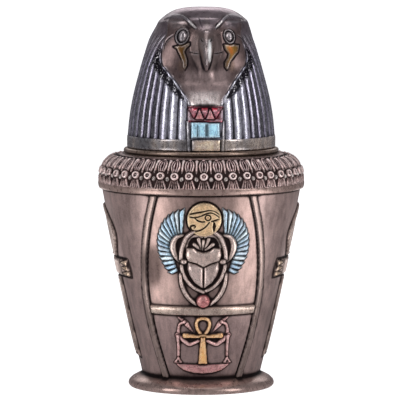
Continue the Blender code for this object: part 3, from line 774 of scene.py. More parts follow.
FOREHEAD = Coat((0.30, 0.235, 0.255), 0.85, 0.7)
# The near white of the painted highlights on the brows' inner ends
BROW_HIGHLIGHT = Coat((0.85, 0.78, 0.76), 0.85, 0.9)
FACE = Coat((0.18, 0.125, 0.12), 0.8, 0.6)
# The pale colour of the painted highlight on the breast
BREAST_HIGHLIGHT = Coat((0.88, 0.76, 0.74), 0.6)
BEAK = Coat((0.25, 0.185, 0.175), 0.8, 0.8)
MARK = Coat((0.17, 0.085, 0.015), 0.7, 0.6)
THROAT = Coat((0.46, 0.34, 0.33), 0.8, 0.6)
# The light colour of the painted highlights on the forehead's ridge and under the left brow
FOREHEAD_HIGHLIGHT = Coat((0.42, 0.34, 0.34), 0.85, 0.9)
EYE_RING = Coat((0.17, 0.135, 0.13), 0.85, 0.6)
# The white of the painted highlight on the beak
BEAK_HIGHLIGHT = Coat((1.0, 1.0, 1.0), 0.3, 1.0)
ROLL = Coat((0.25, 0.205, 0.225), 0.85, 0.7)
# The dark colour of the painted shadow on the temples
TEMPLE_SHADOW = Coat((0.23, 0.185, 0.21), 0.85)
MARK_DEEP = Coat((0.28, 0.07, 0.01), 0.7, 0.6)
PETAL_VEIN = Coat((1.0, 0.70, 0.68), 0.4)
EYE = Coat((0.52, 0.45, 0.46), 0.9, 1.0)
BASE_BAND = Coat((0.40, 0.32, 0.27), 0.8, 0.3)
PANEL_BLUE = Coat((0.46, 0.80, 1.0), 0.5)
PANEL_RED = Coat((0.13, 0.012, 0.02), 0.45)
PANEL_ROSE = Coat((0.62, 0.17, 0.17), 0.5)
PANEL_SCARLET = Coat((0.50, 0.02, 0.05), 0.7)
PANEL_EDGE = Coat((0.62, 0.58, 0.62))
PANEL_GOLD = Coat((0.92, 0.64, 0.42), 0.7)


# The jar


@dataclass
class Vessel:
    """The hollow jar below its shoulder: foot, tapered wall with its ornament, band, collar and inside, in mm."""

    foot_height: float = 6.8
    base_radius: float = 31.2
    top_radius: float = 52.35
    swell: float = 0.8
    wall_height: float = 98.0
    wall_rows: int = 222
    bar_low: float = 41.8
    bar_high: float = 46.0
    feathers: int = 15
    columns: Points = ((-180, -154, 1.5), (-154, -131, 1.15), (-131, -122, 2.25), (-122, -58, 1.15),
                       (-58, -47, 1.2), (-47, -36, 0.7), (-36, 36, 0.52), (36, 47, 0.7), (47, 58, 1.2),
                       (58, 122, 1.15), (122, 131, 2.25), (131, 154, 1.15), (154, 180, 1.5))
    # The (radius, height) rows from the foot's middle over the rim of the mouth to the inside's floor
    foot: Points = ((0, 0), (33.0, 0), (37.9, 0), (38.5, 0.7), (38.6, 1.5), (38.2, 2.6), (36.8, 4.0), (34.6, 5.2),
                    (32.6, 6.1), (31.5, 6.75))
    band: Points = ((52.45, 104.9), (53.5, 104.95), (53.95, 105.15), (54.15, 105.8), (54.35, 106.7), (54.45, 107.6),
                    (54.4, 108.15), (53.8, 108.45), (52.6, 108.6))
    hidden: Points = ((51.0, 108.75), (46, 110), (43.6, 116), (41.4, 122.9))
    collar: Points = ((39.9, 123.3), (40.5, 123.6), (40.85, 124.2), (40.9, 124.8), (40.8, 125.4), (40.4, 125.9),
                      (39.7, 126.15), (38.9, 126.2), (33.3, 126.2), (33.0, 126.0), (33.0, 119.4))
    inside: Points = ((42.8, 117.05), (47.7, 103.8), (43.2, 80), (37.9, 54.9), (32.0, 28), (26.8, 6.0), (0, 6.0))
    # How far the strips' inner edges lie from the middle, by height
    strip_line: Points = ((6, 17.6), (12, 19.7), (20, 22.5), (29, 25.5), (37, 27.6), (48, 30.0), (57, 30.9),
                          (64, 31.1), (71, 30.8), (79, 30.0), (89, 28.4), (95, 27.0), (104, 24.6))
    strip_width: float = 3.7
    # How wide the dark lines along the strips are, and how dark the gap is
    front_lines: tuple[float, float] = (0.85, 0.22)
    back_lines: tuple[float, float] = (1.9, 0.6)
    # How much softer edges are drawn where the columns lie far apart
    back_coarse: float = 0.45
    side_coarse: float = 0.27
    wing_heart: tuple[float, float] = (13, 79)
    # How much darker the right wing's feathers are painted, as painted shade
    right_wing_painted_shade: float = 0.86
    seams: tuple[float, float] = (104.8, 7.0)
    # Soft patches of painted shade, laid as dark wash, by their middle, their half width and height and their darkness
    painted_shades: Points = ((0, 70, 24, 26, 0.34), (0, 27, 14, 14, 0.18), (-28, 67, 9, 15, 0.5))

    def radius(self, height: Array | float) -> Array:
        """The wall's radius at a height.

        Args:
            height: The height.

        Returns:
            The radius there.
        """
        share = (height - self.foot_height) / self.wall_height
        rise = (self.top_radius - self.base_radius) * share
        return self.base_radius + rise + self.swell * 4 * share * (1 - share)

    def profile(self) -> tuple[Array, slice]:
        """Lays the vessel's rows.

        Returns:
            The (radius, height) rows and the slice of them that is the wall.
        """
        levels = np.linspace(self.foot_height + 0.2, self.foot_height + self.wall_height - 0.15, self.wall_rows)
        wall = np.stack([self.radius(levels), levels], 1)
        rows = np.vstack([self.foot, wall, self.band, self.hidden, self.collar, self.inside])
        return rows, slice(len(self.foot), len(self.foot) + self.wall_rows)

    def draw_frames(self, relief: Relief, line: float, gap: float) -> None:
        """Draws the long strips and the bar of the front or the back.

        Args:
            relief: The drawing.
            line: How wide the dark lines along the strips are.
            gap: How dark the gap round the strips is.
        """
        levels = np.linspace(self.foot_height - 1, self.foot_height + self.wall_height + 1, 40)
        reach = through(self.strip_line, levels)
        low, high = through(self.strip_line, np.array([self.bar_low, self.bar_high])) + 0.5
        relief.height[np.abs(relief.across) < through(self.strip_line, relief.up)] -= 0.25
        bar = ((-low, self.bar_low), (low, self.bar_low), (high, self.bar_high), (-high, self.bar_high))
        relief.plate(BAR, bar, 0.9, 0.5, 0.2, 0.55)
        for side in (1, -1):
            middle = side * (reach + 0.4 + self.strip_width / 2)
            strip = np.stack([middle, levels, np.full_like(levels, self.strip_width)], 1)
            relief.mould(relief.line(strip, straight=True), STRIP, 0.6, 0.6, 0.15, gap)
            inner = np.stack([side * reach, levels, np.full_like(levels, line)], 1)
            relief.sink(relief.line(inner, straight=True), 0.4, 1.0)

    def draw_wing(self, relief: Relief, side: int) -> None:
        """Draws one spread wing: fanned feathers, its root and the crescent on it.

        Args:
            relief: The front's drawing.
            side: 1 for the wing on the viewer's right and -1 for the other.
        """
        roots = ((0, 11.0, 84.9), (0.2, 14.3, 83.4), (0.4, 16.4, 80.5), (0.6, 16.8, 76.5), (0.8, 15.3, 71),
                 (1, 13.2, 65))
        tips = ((0, 9.8, 98.2), (0.1, 14.4, 96.8), (0.2, 18.2, 94.6), (0.3, 21.2, 91.4), (0.4, 23.4, 87.4),
                (0.5, 24.7, 82.8), (0.6, 24.8, 78.2), (0.7, 24.0, 73.8), (0.8, 22.2, 69.6), (0.9, 19.7, 65.6),
                (1, 16.2, 62.2))
        for index in range(self.feathers):
            corners = []
            for line, share, reach in ((roots, 0.1, 1), (tips, 0.02, 1.0), (tips, 0.86, 0.93), (roots, 0.9, 1)):
                at = (index + share) / self.feathers
                spot = [float(through(tuple((row[0], row[part]) for row in line), at)) for part in (1, 2)]
                across, up = (heart + reach * (part - heart) for part, heart in zip(spot, self.wing_heart))
                corners.append((side * across, up))
            coat = (BLUE, PALE_BLUE, BLUE, DEEP_BLUE, BLUE)[index % 5]
            # Painted shade: the right wing's feathers are painted darker.
            if side > 0:
                coat = replace(coat, colour=tuple(self.right_wing_painted_shade * part for part in coat.colour))
            relief.mould(relief.area(corners), coat, 0.45, 0.45, 0.3, 0.95)
            shaft = relief.line(((*corners[0], 0.3), (*corners[1], 0.7)), straight=True)
            relief.paint(shaft, PALE_BLUE, 0.3, 0.6)
        crescent = ((10.6, 84.2, 1.0), (14.4, 82.6, 2.4), (16.0, 78.2, 3.2), (14.6, 73.4, 2.4), (12.2, 70.2, 1.0))
        relief.ridge(SCARAB, crescent, 0.8, 0.8, 0.35, side=side)

    def draw_scarab(self, relief: Relief) -> None:
        """Draws the winged scarab with its ball.

        Args:
            relief: The front's drawing.
        """
        for side in (1, -1):
            self.draw_wing(relief, side)
        well = relief.area(((-8.6, 77.2), (-8.4, 83.2), (0, 85.0), (8.4, 83.2), (8.6, 77.2), (0, 74.5)))
        relief.stain(well, 0.9, 0.8)
        arc = ((0.6, 83.3, 1.0), (3.8, 83.9, 1.2), (6.4, 83.2, 1.3), (8.2, 80.8, 1.3), (9.0, 77.4, 1.2))
        arm = ((4.6, 86.4, 1.5), (8.6, 83.2, 2.2), (10.5, 79.0, 2.3), (11.5, 75.2, 2.2), (11.6, 71.8, 2.3))
        middle = ((11.4, 68.0, 1.7), (10.6, 64.6, 1.8), (8.6, 60.4, 1.6), (5.0, 56.6, 1.5), (0, 54.1, 1.4))
        hind = ((11.9, 63.4, 1.5), (11.3, 58.2, 1.9), (9.4, 53.6, 2.0), (6.8, 50.2, 1.8), (3.6, 47.6, 1.3))
        limbs = ((arc, 0.45, 0.4, 0.15), (arm, 0.85, 0.7, 0.5), (middle, 0.6, 0.5, 0.35), (hind, 0.7, 0.6, 0.45))
        for side in (1, -1):
            for path, *shape in limbs:
                relief.ridge(LIMB, path, *shape, side=side)
            relief.mould(relief.oval(side * 10.1, 70.2, 1.7, 1.3), LIMB, 0.7, 0.7, 0.7)
        for across, up in ((-4.8, 79.4), (-2.6, 82.2), (0, 81.0), (2.7, 82.1), (4.9, 79.4)):
            ray = relief.line(((0.25 * across, 76.6, 0.9), (across, up, 1.75)), straight=True)
            relief.mould(ray, SCARAB, 0.6, 0.45, 0.2, 0.95)
        shield = ((-8.6, 77.3), (-5.4, 77.6), (-3.3, 75.9), (0, 75.1), (3.3, 75.9), (5.4, 77.6), (8.8, 77.1),
                  (9.3, 73.6), (8.2, 70.6), (3.9, 69.3), (0.1, 67.3), (-3.5, 69.4), (-7.9, 70.6), (-9.1, 73.6))
        relief.plate(SCARAB, shield, 0.9, 0.7, 0.8)
        for side in (1, -1):
            case = ((0.15, 67.0), (3.8, 68.9), (7.8, 70.1), (8.1, 66.4), (6.7, 62.6), (4.4, 59.3), (0.15, 56.1))
            relief.plate(WING_CASE, case, 0.8, 0.6, 1.0, side=side)
            rim = ((1.0, 66.6, 0.5), (4.0, 68.0, 0.5), (7.0, 69.0, 0.5), (7.2, 66.2, 0.5), (5.9, 62.8, 0.5))
            relief.groove(rim, 0.12, 0.35, 0.2, side=side)
        relief.mould(relief.oval(0, 49.3, 3.5, 3.4), BALL, 0.8, 0.8, 1.6)

    def draw_ankh(self, relief: Relief) -> None:
        """Draws the ankh, the two bird-headed figures that lean on it and their boat.

        Args:
            relief: The front's drawing.
        """
        half = ((7.3, 15.1), (14.6, 15.6), (12.4, 13.7), (9.6, 12.0), (4.6, 10.7))
        boat = ((0, 15.0), *half, (0, 10.4), *mirrored(half)[::-1])
        relief.plate(BOAT, boat, 0.6, 0.7, 0.35)
        keel = ((-12.6, 14.7, 0.4), (-4, 13.9, 0.4), (4, 13.9, 0.4), (12.6, 14.7, 0.4))
        relief.groove(keel, 0.12, 0.4, 0.15)
        shapes = (
            ((13.2, 40.7, 0.6), (11.4, 39.5, 1.1), (9.5, 38.2, 1.7)),
            ((9.3, 38.0, 2.2), (8.4, 36.9, 2.2), (6.9, 35.0, 1.1), (5.4, 33.3, 0.5)),
            ((9.6, 38.2, 1.3), (12.2, 36.8, 1.3), (12.9, 34.0, 1.4), (13.1, 31.2, 1.9)),
            ((13.7, 30.9, 2.4), (12.0, 29.7, 2.0), (9.4, 27.5, 1.9), (6.6, 26.1, 1.6), (2.0, 28.1, 1.1)),
            ((13.2, 30.2, 1.8), (12.9, 25, 1.5), (12.9, 18.4, 1.3)),
        )
        for side in (1, -1):
            for path in shapes:
                relief.ridge(BIRD, path, 0.55, 0.5, 0.25, side=side)
            relief.plate(BIRD, ((12.9, 19.3), (15.5, 15.9), (10.6, 15.9)), 0.5, 0.4, side=side)
            relief.sink(relief.area(mirrored(((12.9, 17.9), (14.0, 16.5), (11.8, 16.5)), side)), 0.35, 0.9, 0.2)
            relief.sink(relief.oval(side * 8.9, 37.4, 0.4, 0.4), 0.2, 0.9, 0.15)
        half = ((2.3, 39.5, 1.6), (3.4, 37.7, 1.6), (3.3, 35.6, 1.6), (2.2, 33.2, 1.6))
        loop = ((0, 40.1, 1.55), *half, (0, 31.0, 1.7), *mirrored(half)[::-1])
        relief.mould(relief.line(loop, closed=True), ANKH_GOLD, 0.75, 0.6, 0.2)
        arms = ((-9.4, 30.8, 2.7), (-5, 30.5, 1.8), (0, 30.5, 1.7), (5, 30.5, 1.8), (9.4, 30.8, 2.7))
        relief.ridge(ANKH_GOLD, arms, 0.8, 0.6, 0.15)
        shaft = both(((1.1, 30), (1.5, 26), (2.3, 15.7)))
        relief.plate(ANKH_GOLD, shaft, 0.85, 0.7, 0.2)

    def draw_side(self, relief: Relief) -> None:
        """Draws a side's large ankh: a filled loop behind a rim, toothed arms and a wide shaft.

        Args:
            relief: The drawing, seen from that side.
        """
        loop = ((0, 97.2), *both(((-8.6, 93.2), (-15.2, 87.0), (-17.0, 81.2), (-13.8, 74.2), (-9.2, 68.6))))
        relief.mould(relief.area(loop, True), SIDE_ANKH, 1.2, 0.8, 0.2)
        relief.mould(relief.box(-11.2, 16.4, 11.2, 60), SIDE_ANKH, 1.0, 0.8, 0.1)
        relief.mould(relief.box(-24.6, 59.9, 24.6, 69), SIDE_ANKH, 1.15, 0.8, 0.1)
        inner = tuple((0.80 * across, 81.8 + 0.80 * (up - 81.8)) for across, up in loop)
        relief.sink(relief.area(inner, True), 0.45, 0.25, 0.5)
        for up in (18.2, 57.8):
            relief.sink(relief.stripe(-9.4, up, 9.4, up, 0.8), 0.25, 0.7, 0.25)
        fine = relief.seen_from(relief.across)
        for side in (1, -1):
            for up in (61.6, 64.45, 67.3):
                tooth = ((side * 17.4, up), (side * 23.8, up + 1.3), (side * 23.8, up - 1.3))
                fine.mould(fine.area(tooth), TOOTH, 0.3, 0.3, 0.1, 0.9, 1.15)
            relief.sink(relief.stripe(side * 16.4, 60.6, side * 16.4, 68.3, 1.0), 0.3, 0.8)
            relief.sink(relief.stripe(side * 9.4, 18.2, side * 9.4, 57.8, 1.2), 0.2, 0.6)

    def draw_back(self, relief: Relief) -> None:
        """Draws the plain pillar with four cross pieces.

        Args:
            relief: The drawing, seen from the back.
        """
        pillar = both(((5.4, 51), (4.4, 76), (4.9, 100)))
        relief.plate(BAR, pillar, 0.9, 0.7, 0.15)
        for up in (80.0, 85.5, 91.0, 96.5):
            relief.mould(relief.box(-10, up - 1.6, 10, up + 1.6), BAR, 1.1, 0.6, 0.15)
        for up in (54, 76):
            relief.sink(relief.stripe(-4.2, up, 4.2, up, 0.7), 0.3, 0.8)

    def tone_front(self, front: Relief, around: Array) -> None:
        """Paints shade and light on the wall round its ornament, and lays dark wash round the disc's edge.

        Args:
            front: The wall's drawing.
            around: How far its points lie round it from the front.
        """
        # Painted shade: soft dark patches on the field, laid as wash.
        for left, middle, wide, high, wash in self.painted_shades:
            away = np.hypot((front.across - left) / wide, (front.up - middle) / high)
            front.darken(wash * (1 - ease(away, 0.45, 1.15)))
        # Painted highlight: the field is painted lighter low on each side of the scarab.
        front.colour *= 1 + 0.55 * (bump(front.up, 51, 7) * bump(np.abs(around), 21, 11))[..., None]
        front.stain(front.oval(SunDisc.across, SunDisc.up, 9.9, 9.9), 0.95)

    def build(self) -> bpy.types.Object:
        """Builds the vessel.

        Returns:
            The vessel, dressed.
        """
        rows, wall = self.profile()
        sheet = Sheet.turned(rows, spread(self.columns))
        whole = Relief.blank(sheet.radii * sheet.angles, sheet.heights, RIM)
        turned = sheet.angles[wall]
        around = whole.across[wall]
        front = Relief(around, whole.up[wall], *whole.layers(wall))
        front.colour[:] = SIDE_FIELD.colour
        within = np.abs(around) < through(self.strip_line, front.up)
        front.colour[within & (front.up > self.bar_low)] = FIELD.colour
        front.colour[within & (front.up < self.bar_low)] = LOW_FIELD.colour
        self.draw_frames(front, *self.front_lines)
        back = front.seen_from(rows[wall, :1] * wrapped(turned - Facing.BACK.value), self.back_coarse)
        self.draw_frames(back, *self.back_lines)
        self.tone_front(front, around)
        self.draw_scarab(front)
        self.draw_ankh(front)
        self.draw_back(back)
        for side in (Facing.RIGHT, Facing.LEFT):
            self.draw_side(front.seen_from(rows[wall, :1] * wrapped(turned - side.value), self.side_coarse))
        foot = slice(len(self.foot))
        inside = slice(len(rows) - len(self.inside), None)
        collar = slice(inside.start - len(self.collar), inside.start)
        for part, coat, wash in ((foot, FOOT, 0.0), (inside, INSIDE, 0.3), (collar, COLLAR, 0.0)):
            whole.colour[part] = coat.colour
            whole.wash[part] = wash
        # Painted highlight: the foot's lowest edge is painted lighter.
        whole.colour[foot] *= 1 + 0.7 * (1 - ease(whole.up[foot], 0.9, 2.6))[..., None]
        front.darken(np.clip(sum(bump(front.up, seam, 0.8) for seam in self.seams), 0, 1))
        vessel = woven("vessel", sheet.raised(whole.height), whole)
        Patina("antique bronze").dress(vessel)
        return vessel


@dataclass
class SunDisc:
    """The raised disc over the scarab, with an eye cut into it."""

    across: float = 0.4
    up: float = 92.4
    reach: float = 8.8
    rise: float = 1.5
    border: float = 7.7
    pupil: tuple[float, float] = (2.15, 93.5)
    rings: int = 46
    columns: int = 132

    def draw_eye(self, relief: Relief) -> None:
        """Cuts the eye: brow, lids, pupil, curl and drop.

        Args:
            relief: The disc's drawing.
        """
        lines = (
            ((-6.7, 95.4, 1.1), (-3.4, 96.1, 1.1), (0.2, 96.8, 0.9), (2.6, 97.3, 0.8), (5.1, 96.9, 0.7),
             (7.5, 95.4, 0.8)),
            ((-6.7, 93.9, 0.7), (-4.4, 93.6, 0.9), (-1.6, 94.3, 0.9), (0.2, 95.1, 1.0), (1.9, 95.8, 1.0),
             (4.0, 96.0, 0.9), (6.1, 94.9, 0.8), (7.7, 93.7, 0.7)),
            ((-4.4, 93.3, 0.7), (-3.0, 92.1, 1.0), (-0.9, 91.4, 1.0), (0.5, 91.5, 0.9)),
            ((3.9, 91.6, 0.9), (5.8, 92.1, 1.1), (7.6, 92.8, 0.6)),
            ((2.9, 91.2, 0.8), (1.6, 89.4, 1.0), (-0.2, 87.8, 1.0), (-2.3, 86.8, 1.1), (-4.4, 86.5, 1.2),
             (-6.0, 87.1, 1.2), (-6.6, 88.3, 1.2), (-5.9, 89.3, 1.2), (-4.8, 89.5, 1.1), (-4.1, 88.9, 1.0),
             (-4.5, 88.2, 0.7)),
        )
        for line in lines:
            relief.groove(line, 0.42, 1.0, 0.28)
        drop = ((4.7, 91.5), (5.8, 91.0), (6.3, 89.0), (5.6, 86.2), (4.7, 86.0), (4.3, 88.7))
        relief.sink(relief.area(drop), 0.42, 1.0, 0.25)
        relief.sink(relief.oval(*self.pupil, 1.85, 1.8), 0.4, 1.0, 0.25)
        relief.mould(relief.oval(*self.pupil, 1.05, 1.0), GOLD, 0.3, 0.3, 0.1, 0.0, self.rise * 0.9 - 0.4)
        relief.sink(relief.oval(*self.pupil, 0.35, 0.35), 0.2, 1.0, 0.2)

    def build(self, vessel: Vessel) -> bpy.types.Object:
        """Builds the disc on the vessel's wall.

        Args:
            vessel: The vessel whose wall it lies on.

        Returns:
            The disc, dressed.
        """
        share = np.concatenate([[0], np.linspace(0.02, 1, self.rings), [1.0, 0.9, 0]])
        turns = np.arange(self.columns) * math.tau / self.columns
        across = self.across + self.reach * share[:, None] * np.sin(turns)
        up = self.up + self.reach * share[:, None] * np.cos(turns)
        relief = Relief.blank(across, up, GOLD)
        inside = self.reach * (1 - share[:, None]) * np.ones_like(across)
        relief.height[:] = self.rise * np.sqrt(np.clip(1 - (1 - np.clip(inside / 1.1, 0, 1)) ** 2, 0, 1))
        relief.height += 0.35 * (1 - (share[:, None]) ** 2)
        border = relief.line(tuple((self.across + self.border * math.sin(turn),
                                    self.up + self.border * math.cos(turn), 0.35)
                                   for turn in np.arange(40) * math.tau / 40), closed=True)
        relief.sink(border, 0.1, 0.4, 0.12)
        self.draw_eye(relief)
        relief.height[-3:] = [[-0.5], [-0.7], [-0.7]]
        radius = vessel.radius(up)
        facing = across / radius
        reach = radius + relief.height
        points = np.stack([reach * np.sin(facing), -reach * np.cos(facing), up], -1)
        disc = woven("sun_disc", points, relief)
        Patina("rubbed gold", streaks=0.08, rub=(0.95, 0.72, 0.48)).dress(disc)
        return disc


@dataclass
class Shoulder:
    """The jar's shoulder: a quarter round of petals, rings and fans."""

    petals: int = 44
    steps: int = 22
    rows: int = 58
    hub: float = 42.9
    reach: float = 11.65
    level: float = 110.47
    rise: float = 13.33
    deep: float = 1.3
    # The quarter round's start and end in degrees, and its length in the drawing for each radian
    arc: tuple[float, float] = (-9.5, 81)
    length: float = 13.4
    jitter: float = 0.16
    seed: int = 11
    rosette: tuple[float, float] = (0, 4.6)
    hidden: Points = ((41.3, 123.2), (43, 116), (46.5, 109.6), (53.0, 108.35))

    def draw(self, relief: Relief) -> None:
        """Draws one petal, which all of them follow.

        Args:
            relief: The drawing, in which all petals lie on one.
        """
        relief.height[:] = -self.deep
        relief.wash[:] = 0.96
        leaf = both(((1.3, 6.6), (2.1, 8.4), (2.6, 10.6), (2.45, 12.8), (1.6, 15.0), (0.4, 16.9)))
        relief.plate(PETAL_RIM, leaf, 1.2, 0.4, 0.0, 0.9, -self.deep)
        heart = tuple((0.72 * across, 11.6 + 0.86 * (up - 11.6)) for across, up in leaf)
        relief.sink(relief.area(heart), 0.45, 0.55, 0.25)
        relief.paint(relief.area(heart), PETAL_HEART, 0.2, 0.92)
        for across in (-0.8, 0.8):
            vein = relief.line(((across * 0.6, 7.6, 0.4), (across * 1.1, 10.8, 0.5), (across * 0.4, 14.8, 0.35)))
            relief.mould(vein, PETAL_VEIN, 0.35, 0.25, 0, 0.9, -0.55)
        for index in range(5):
            lean = (index - 2) / 2
            ray = relief.line(((1.3 * lean, 2.9, 0.55), (2.9 * lean, -2.2, 1.05)), straight=True)
            relief.mould(ray, PETAL, 1.0, 0.35, 0.15, 0.9, -self.deep)
        relief.mould(relief.oval(*self.rosette, 2.2, 2.15), PETAL_RIM, 1.35, 0.45, 0.0, 0.9, -self.deep)
        relief.sink(relief.oval(*self.rosette, 1.25, 1.2), 0.75, 0.85, 0.25)
        relief.paint(relief.oval(*self.rosette, 1.1, 1.05), PETAL_HEART, 0.2, 0.4)
        relief.mould(relief.oval(*self.rosette, 0.5, 0.5), PETAL_RIM, 0.35, 0.3, 0.1, 0, -0.7)

    def build(self) -> bpy.types.Object:
        """Builds the shoulder as a closed ring.

        Returns:
            The shoulder, dressed.
        """
        chance = np.random.default_rng(self.seed)
        count = self.petals * self.steps
        angles = np.arange(count) * math.tau / count
        pitch = math.tau / self.petals
        number = np.round(angles / pitch).astype(int) % self.petals
        turn = np.radians(np.linspace(*self.arc, self.rows))[:, None]
        jitter = chance.uniform(-self.jitter, self.jitter, (2, self.petals))
        radius = self.hub + self.reach * np.cos(turn)
        across = radius * (angles - np.round(angles / pitch) * pitch) + jitter[0][number]
        up = self.length * turn + jitter[1][number]
        relief = Relief.blank(across, up * np.ones_like(across), PETAL)
        self.draw(relief)
        between = relief.seen_from(radius * ((angles % pitch) - pitch / 2))
        between.mould(between.oval(0, 3.0, 1.15, 1.3), PEARL, 0.4, 0.5, 0.6, 0.8, -self.deep)
        stem = between.line(((0, 6.4, 0.5), (0, 9.0, 0.9), (0, 13.0, 1.2), (0, 15.8, 1.9)))
        between.mould(stem, PETAL_RIM, 0.8, 0.4, 0.1, 0.9, -self.deep)
        outside = np.stack([radius[:, 0], self.level + self.rise * np.sin(turn[:, 0])], 1)
        rows = np.vstack([outside, self.hidden, outside[:1]])
        sheet = Sheet.turned(rows, angles)
        whole = Relief.blank(sheet.angles, sheet.heights, PETAL)
        for mine, drawn in zip(whole.layers(slice(self.rows)), relief.layers()):
            mine[:] = drawn
        whole.height[0] = whole.height[-1] = 0
        turned = np.abs(wrapped(sheet.angles))
        # Painted light and shade: the petals are painted lighter in front, darker towards the sides and a little
        # lighter again at the back.
        tone = 1.1 - 0.34 * ease(turned, 0.5, 1.15) + 0.16 * ease(turned, 1.9, 2.6)
        whole.colour *= tone[..., None]
        shoulder = woven("shoulder", sheet.raised(whole.height), whole)
        Patina("petal bronze", rub=(1.0, 0.82, 0.78), rub_share=0.95, roughness=0.28).dress(shoulder)
        return shoulder


# The lid


@dataclass
class Lid:
    """The falcon's head on its base band, hollow underneath, with its spigot. Its own heights are above its seat."""

    seat: float = 126.5
    turn: float = 2.2
    base_radius: float = 39.1
    base_height: float = 6.1
    head_height: float = 67.4
    ribs: int = 40
    rib_relief: float = 1.0
    panel_angle: float = 14.4
    sweep: float = 22
    columns: Points = ((-180, -52, 0.92), (-52, 52, 0.72), (52, 180, 0.92))
    # The shares of the head's height and radius where its side turns into its crown
    side_top: float = 0.87
    crown_edge: float = 0.612
    # The shares of the height between which the face is carved
    face_low: float = 0.18
    face_high: float = 0.98
    head_rows: int = 196
    # The angle beyond which the front's measure across runs straight on
    bend: float = 1.05
    # The heights over which the ribs end, the crown begins and its top gets its painted highlight
    rib_fade: tuple[float, float] = (55.5, 60.5)
    crown_blend: tuple[float, float] = (58.5, 66)
    crown_highlight: tuple[float, float] = (69.2, 72.9)
    cheek_rise: float = 0.55
    dot_colour: Colour = (0.62, 0.58, 0.60)
    rib_tint: Colour = (1.02, 0.94, 1.08)
    seed: int = 5
    # Outlines: the side's radius by height, the crown's height by radius, the face's depth and edge by height
    cloth_line: Points = ((0, 0.992), (0.12, 0.972), (0.25, 0.938), (0.5, 0.832), (0.75, 0.700), (0.87, 0.612))
    crown_line: Points = ((0, 1.0), (0.1, 0.9996), (0.2, 0.9975), (0.3, 0.9885), (0.37, 0.978), (0.43, 0.9635),
                          (0.49, 0.9425), (0.56, 0.910), (0.6, 0.886), (0.612, 0.87))
    face_line: Points = ((0.18, 0.875), (0.258, 0.872), (0.303, 0.876), (0.34, 0.878), (0.392, 0.842),
                         (0.451, 0.775), (0.525, 0.730), (0.614, 0.705), (0.703, 0.69), (0.792, 0.655),
                         (0.87, 0.600), (0.918, 0.575), (0.95, 0.475), (0.98, 0.30))
    face_edge: Points = ((0.18, 12), (0.25, 12.4), (0.315, 15.5), (0.366, 20), (0.417, 24.6), (0.503, 35),
                         (0.567, 44), (0.604, 46.5), (0.674, 48), (0.733, 47.5), (0.79, 48), (0.85, 53),
                         (0.92, 60), (0.98, 66))
    # How far the muzzle and the beak stand out and how wide they are, by their level over the table
    muzzle: Points = ((159, 0), (163, 0.6), (166, 1.0), (168, 1.7), (170, 2.6), (174, 4.0), (178, 4.6), (182, 4.0),
                      (186, 2.5), (189, 1.2), (192, 0))
    muzzle_half: Points = ((159, 5.0), (163, 4.6), (166, 4.4), (168, 4.6), (170, 5.4), (174, 7.2), (178, 8.4),
                           (182, 8.6), (186, 8), (190, 7))
    beak: Points = ((167.6, 0), (168.4, 1.5), (169.5, 3.4), (171, 4.2), (174, 4.6), (178, 4.2), (182, 3.0),
                    (185, 1.6), (188, 0.5), (190, 0))
    beak_half: Points = ((168.5, 0.9), (170, 1.6), (173, 2.5), (177, 3.3), (181, 4.1), (186, 3.6))
    # The (radius, height) rows of the inside with the spigot, and of the base band
    hollow: Points = ((0, 58.7), (8.0, 58.7), (13.5, 57.2), (20.5, 49.5), (24.5, 41.1), (27.8, 20.5), (28.2, 4),
                      (28.2, -4.0), (32.2, -4.0), (32.4, -3.8), (32.4, 0.0), (38.5, 0.0))
    base: Points = ((38.9, 0.15), (39.1, 0.6), (39.1, 2.0), (39.1, 3.5), (39.1, 5.0), (39.05, 5.7), (38.9, 6.0))

    def share(self, height: Array | float) -> Array | float:
        """How far up the head a height above the seat lies, from 0 to 1."""
        return (height - self.base_height) / self.head_height

    def cloth_radius(self, height: Array) -> Array:
        """The headcloth's radius over its ribs.

        Args:
            height: The height above the seat.

        Returns:
            The radius there.
        """
        share = self.share(height)
        crown = np.array(self.crown_line)
        low = through(self.cloth_line, share)
        high = np.interp(share, crown[::-1, 1], crown[::-1, 0])
        return self.base_radius * np.where(share < self.side_top, low, high)

    def profile(self) -> Array:
        """Lays the head's rows at even steps along its outline.

        Returns:
            The (radius, height) rows from the base band to the crown's middle.
        """
        shares = np.linspace(0, self.side_top, 400)
        side = np.stack([through(self.cloth_line, shares) * self.base_radius, shares * self.head_height], 1)
        radii = np.linspace(self.crown_edge, 0, 300)
        crown = np.stack([radii * self.base_radius, through(self.crown_line, radii) * self.head_height], 1)
        line = np.vstack([side, crown[1:]])
        length = np.concatenate([[0], np.cumsum(np.hypot(*np.diff(line, axis=0).T))])
        even = np.linspace(0, length[-1], self.head_rows)
        return np.stack([np.interp(even, length, line[:, 0]),
                         self.base_height + np.interp(even, length, line[:, 1])], 1)

    def ribbing(self, angle: Array, height: Array) -> tuple[Array, Array]:
        """The headcloth's ribs.

        Args:
            angle: The angles of the points.
            height: Their heights above the seat, one for each row.

        Returns:
            How far each point lies below the ribs' tops, in mm, and its place across its rib, from 0 to 1.
        """
        plain = np.linspace(0, math.pi, 400)
        start = math.radians(self.panel_angle)
        pitch = (math.tau - 2 * start) / self.ribs
        depth = np.zeros_like(angle)
        phase = np.zeros_like(angle)
        lean = np.sin(plain) * (1 - ease(plain, 1.3, 2.7))
        for row, (part, at) in enumerate(zip(self.share(height)[:, 0], np.abs(angle))):
            sweep = math.radians(self.sweep) * np.clip((part - 0.48) / 0.34, 0, 1.35) ** 2
            before = np.interp(at, plain - sweep * lean, plain)
            phase[row] = ((before - start) / pitch) % 1.0
            depth[row] = np.abs(2 * phase[row] - 1) ** 2.6 * (before > start * 0.98)
        fade = 1 - ease(height, *self.rib_fade)
        return self.rib_relief * depth * fade, phase

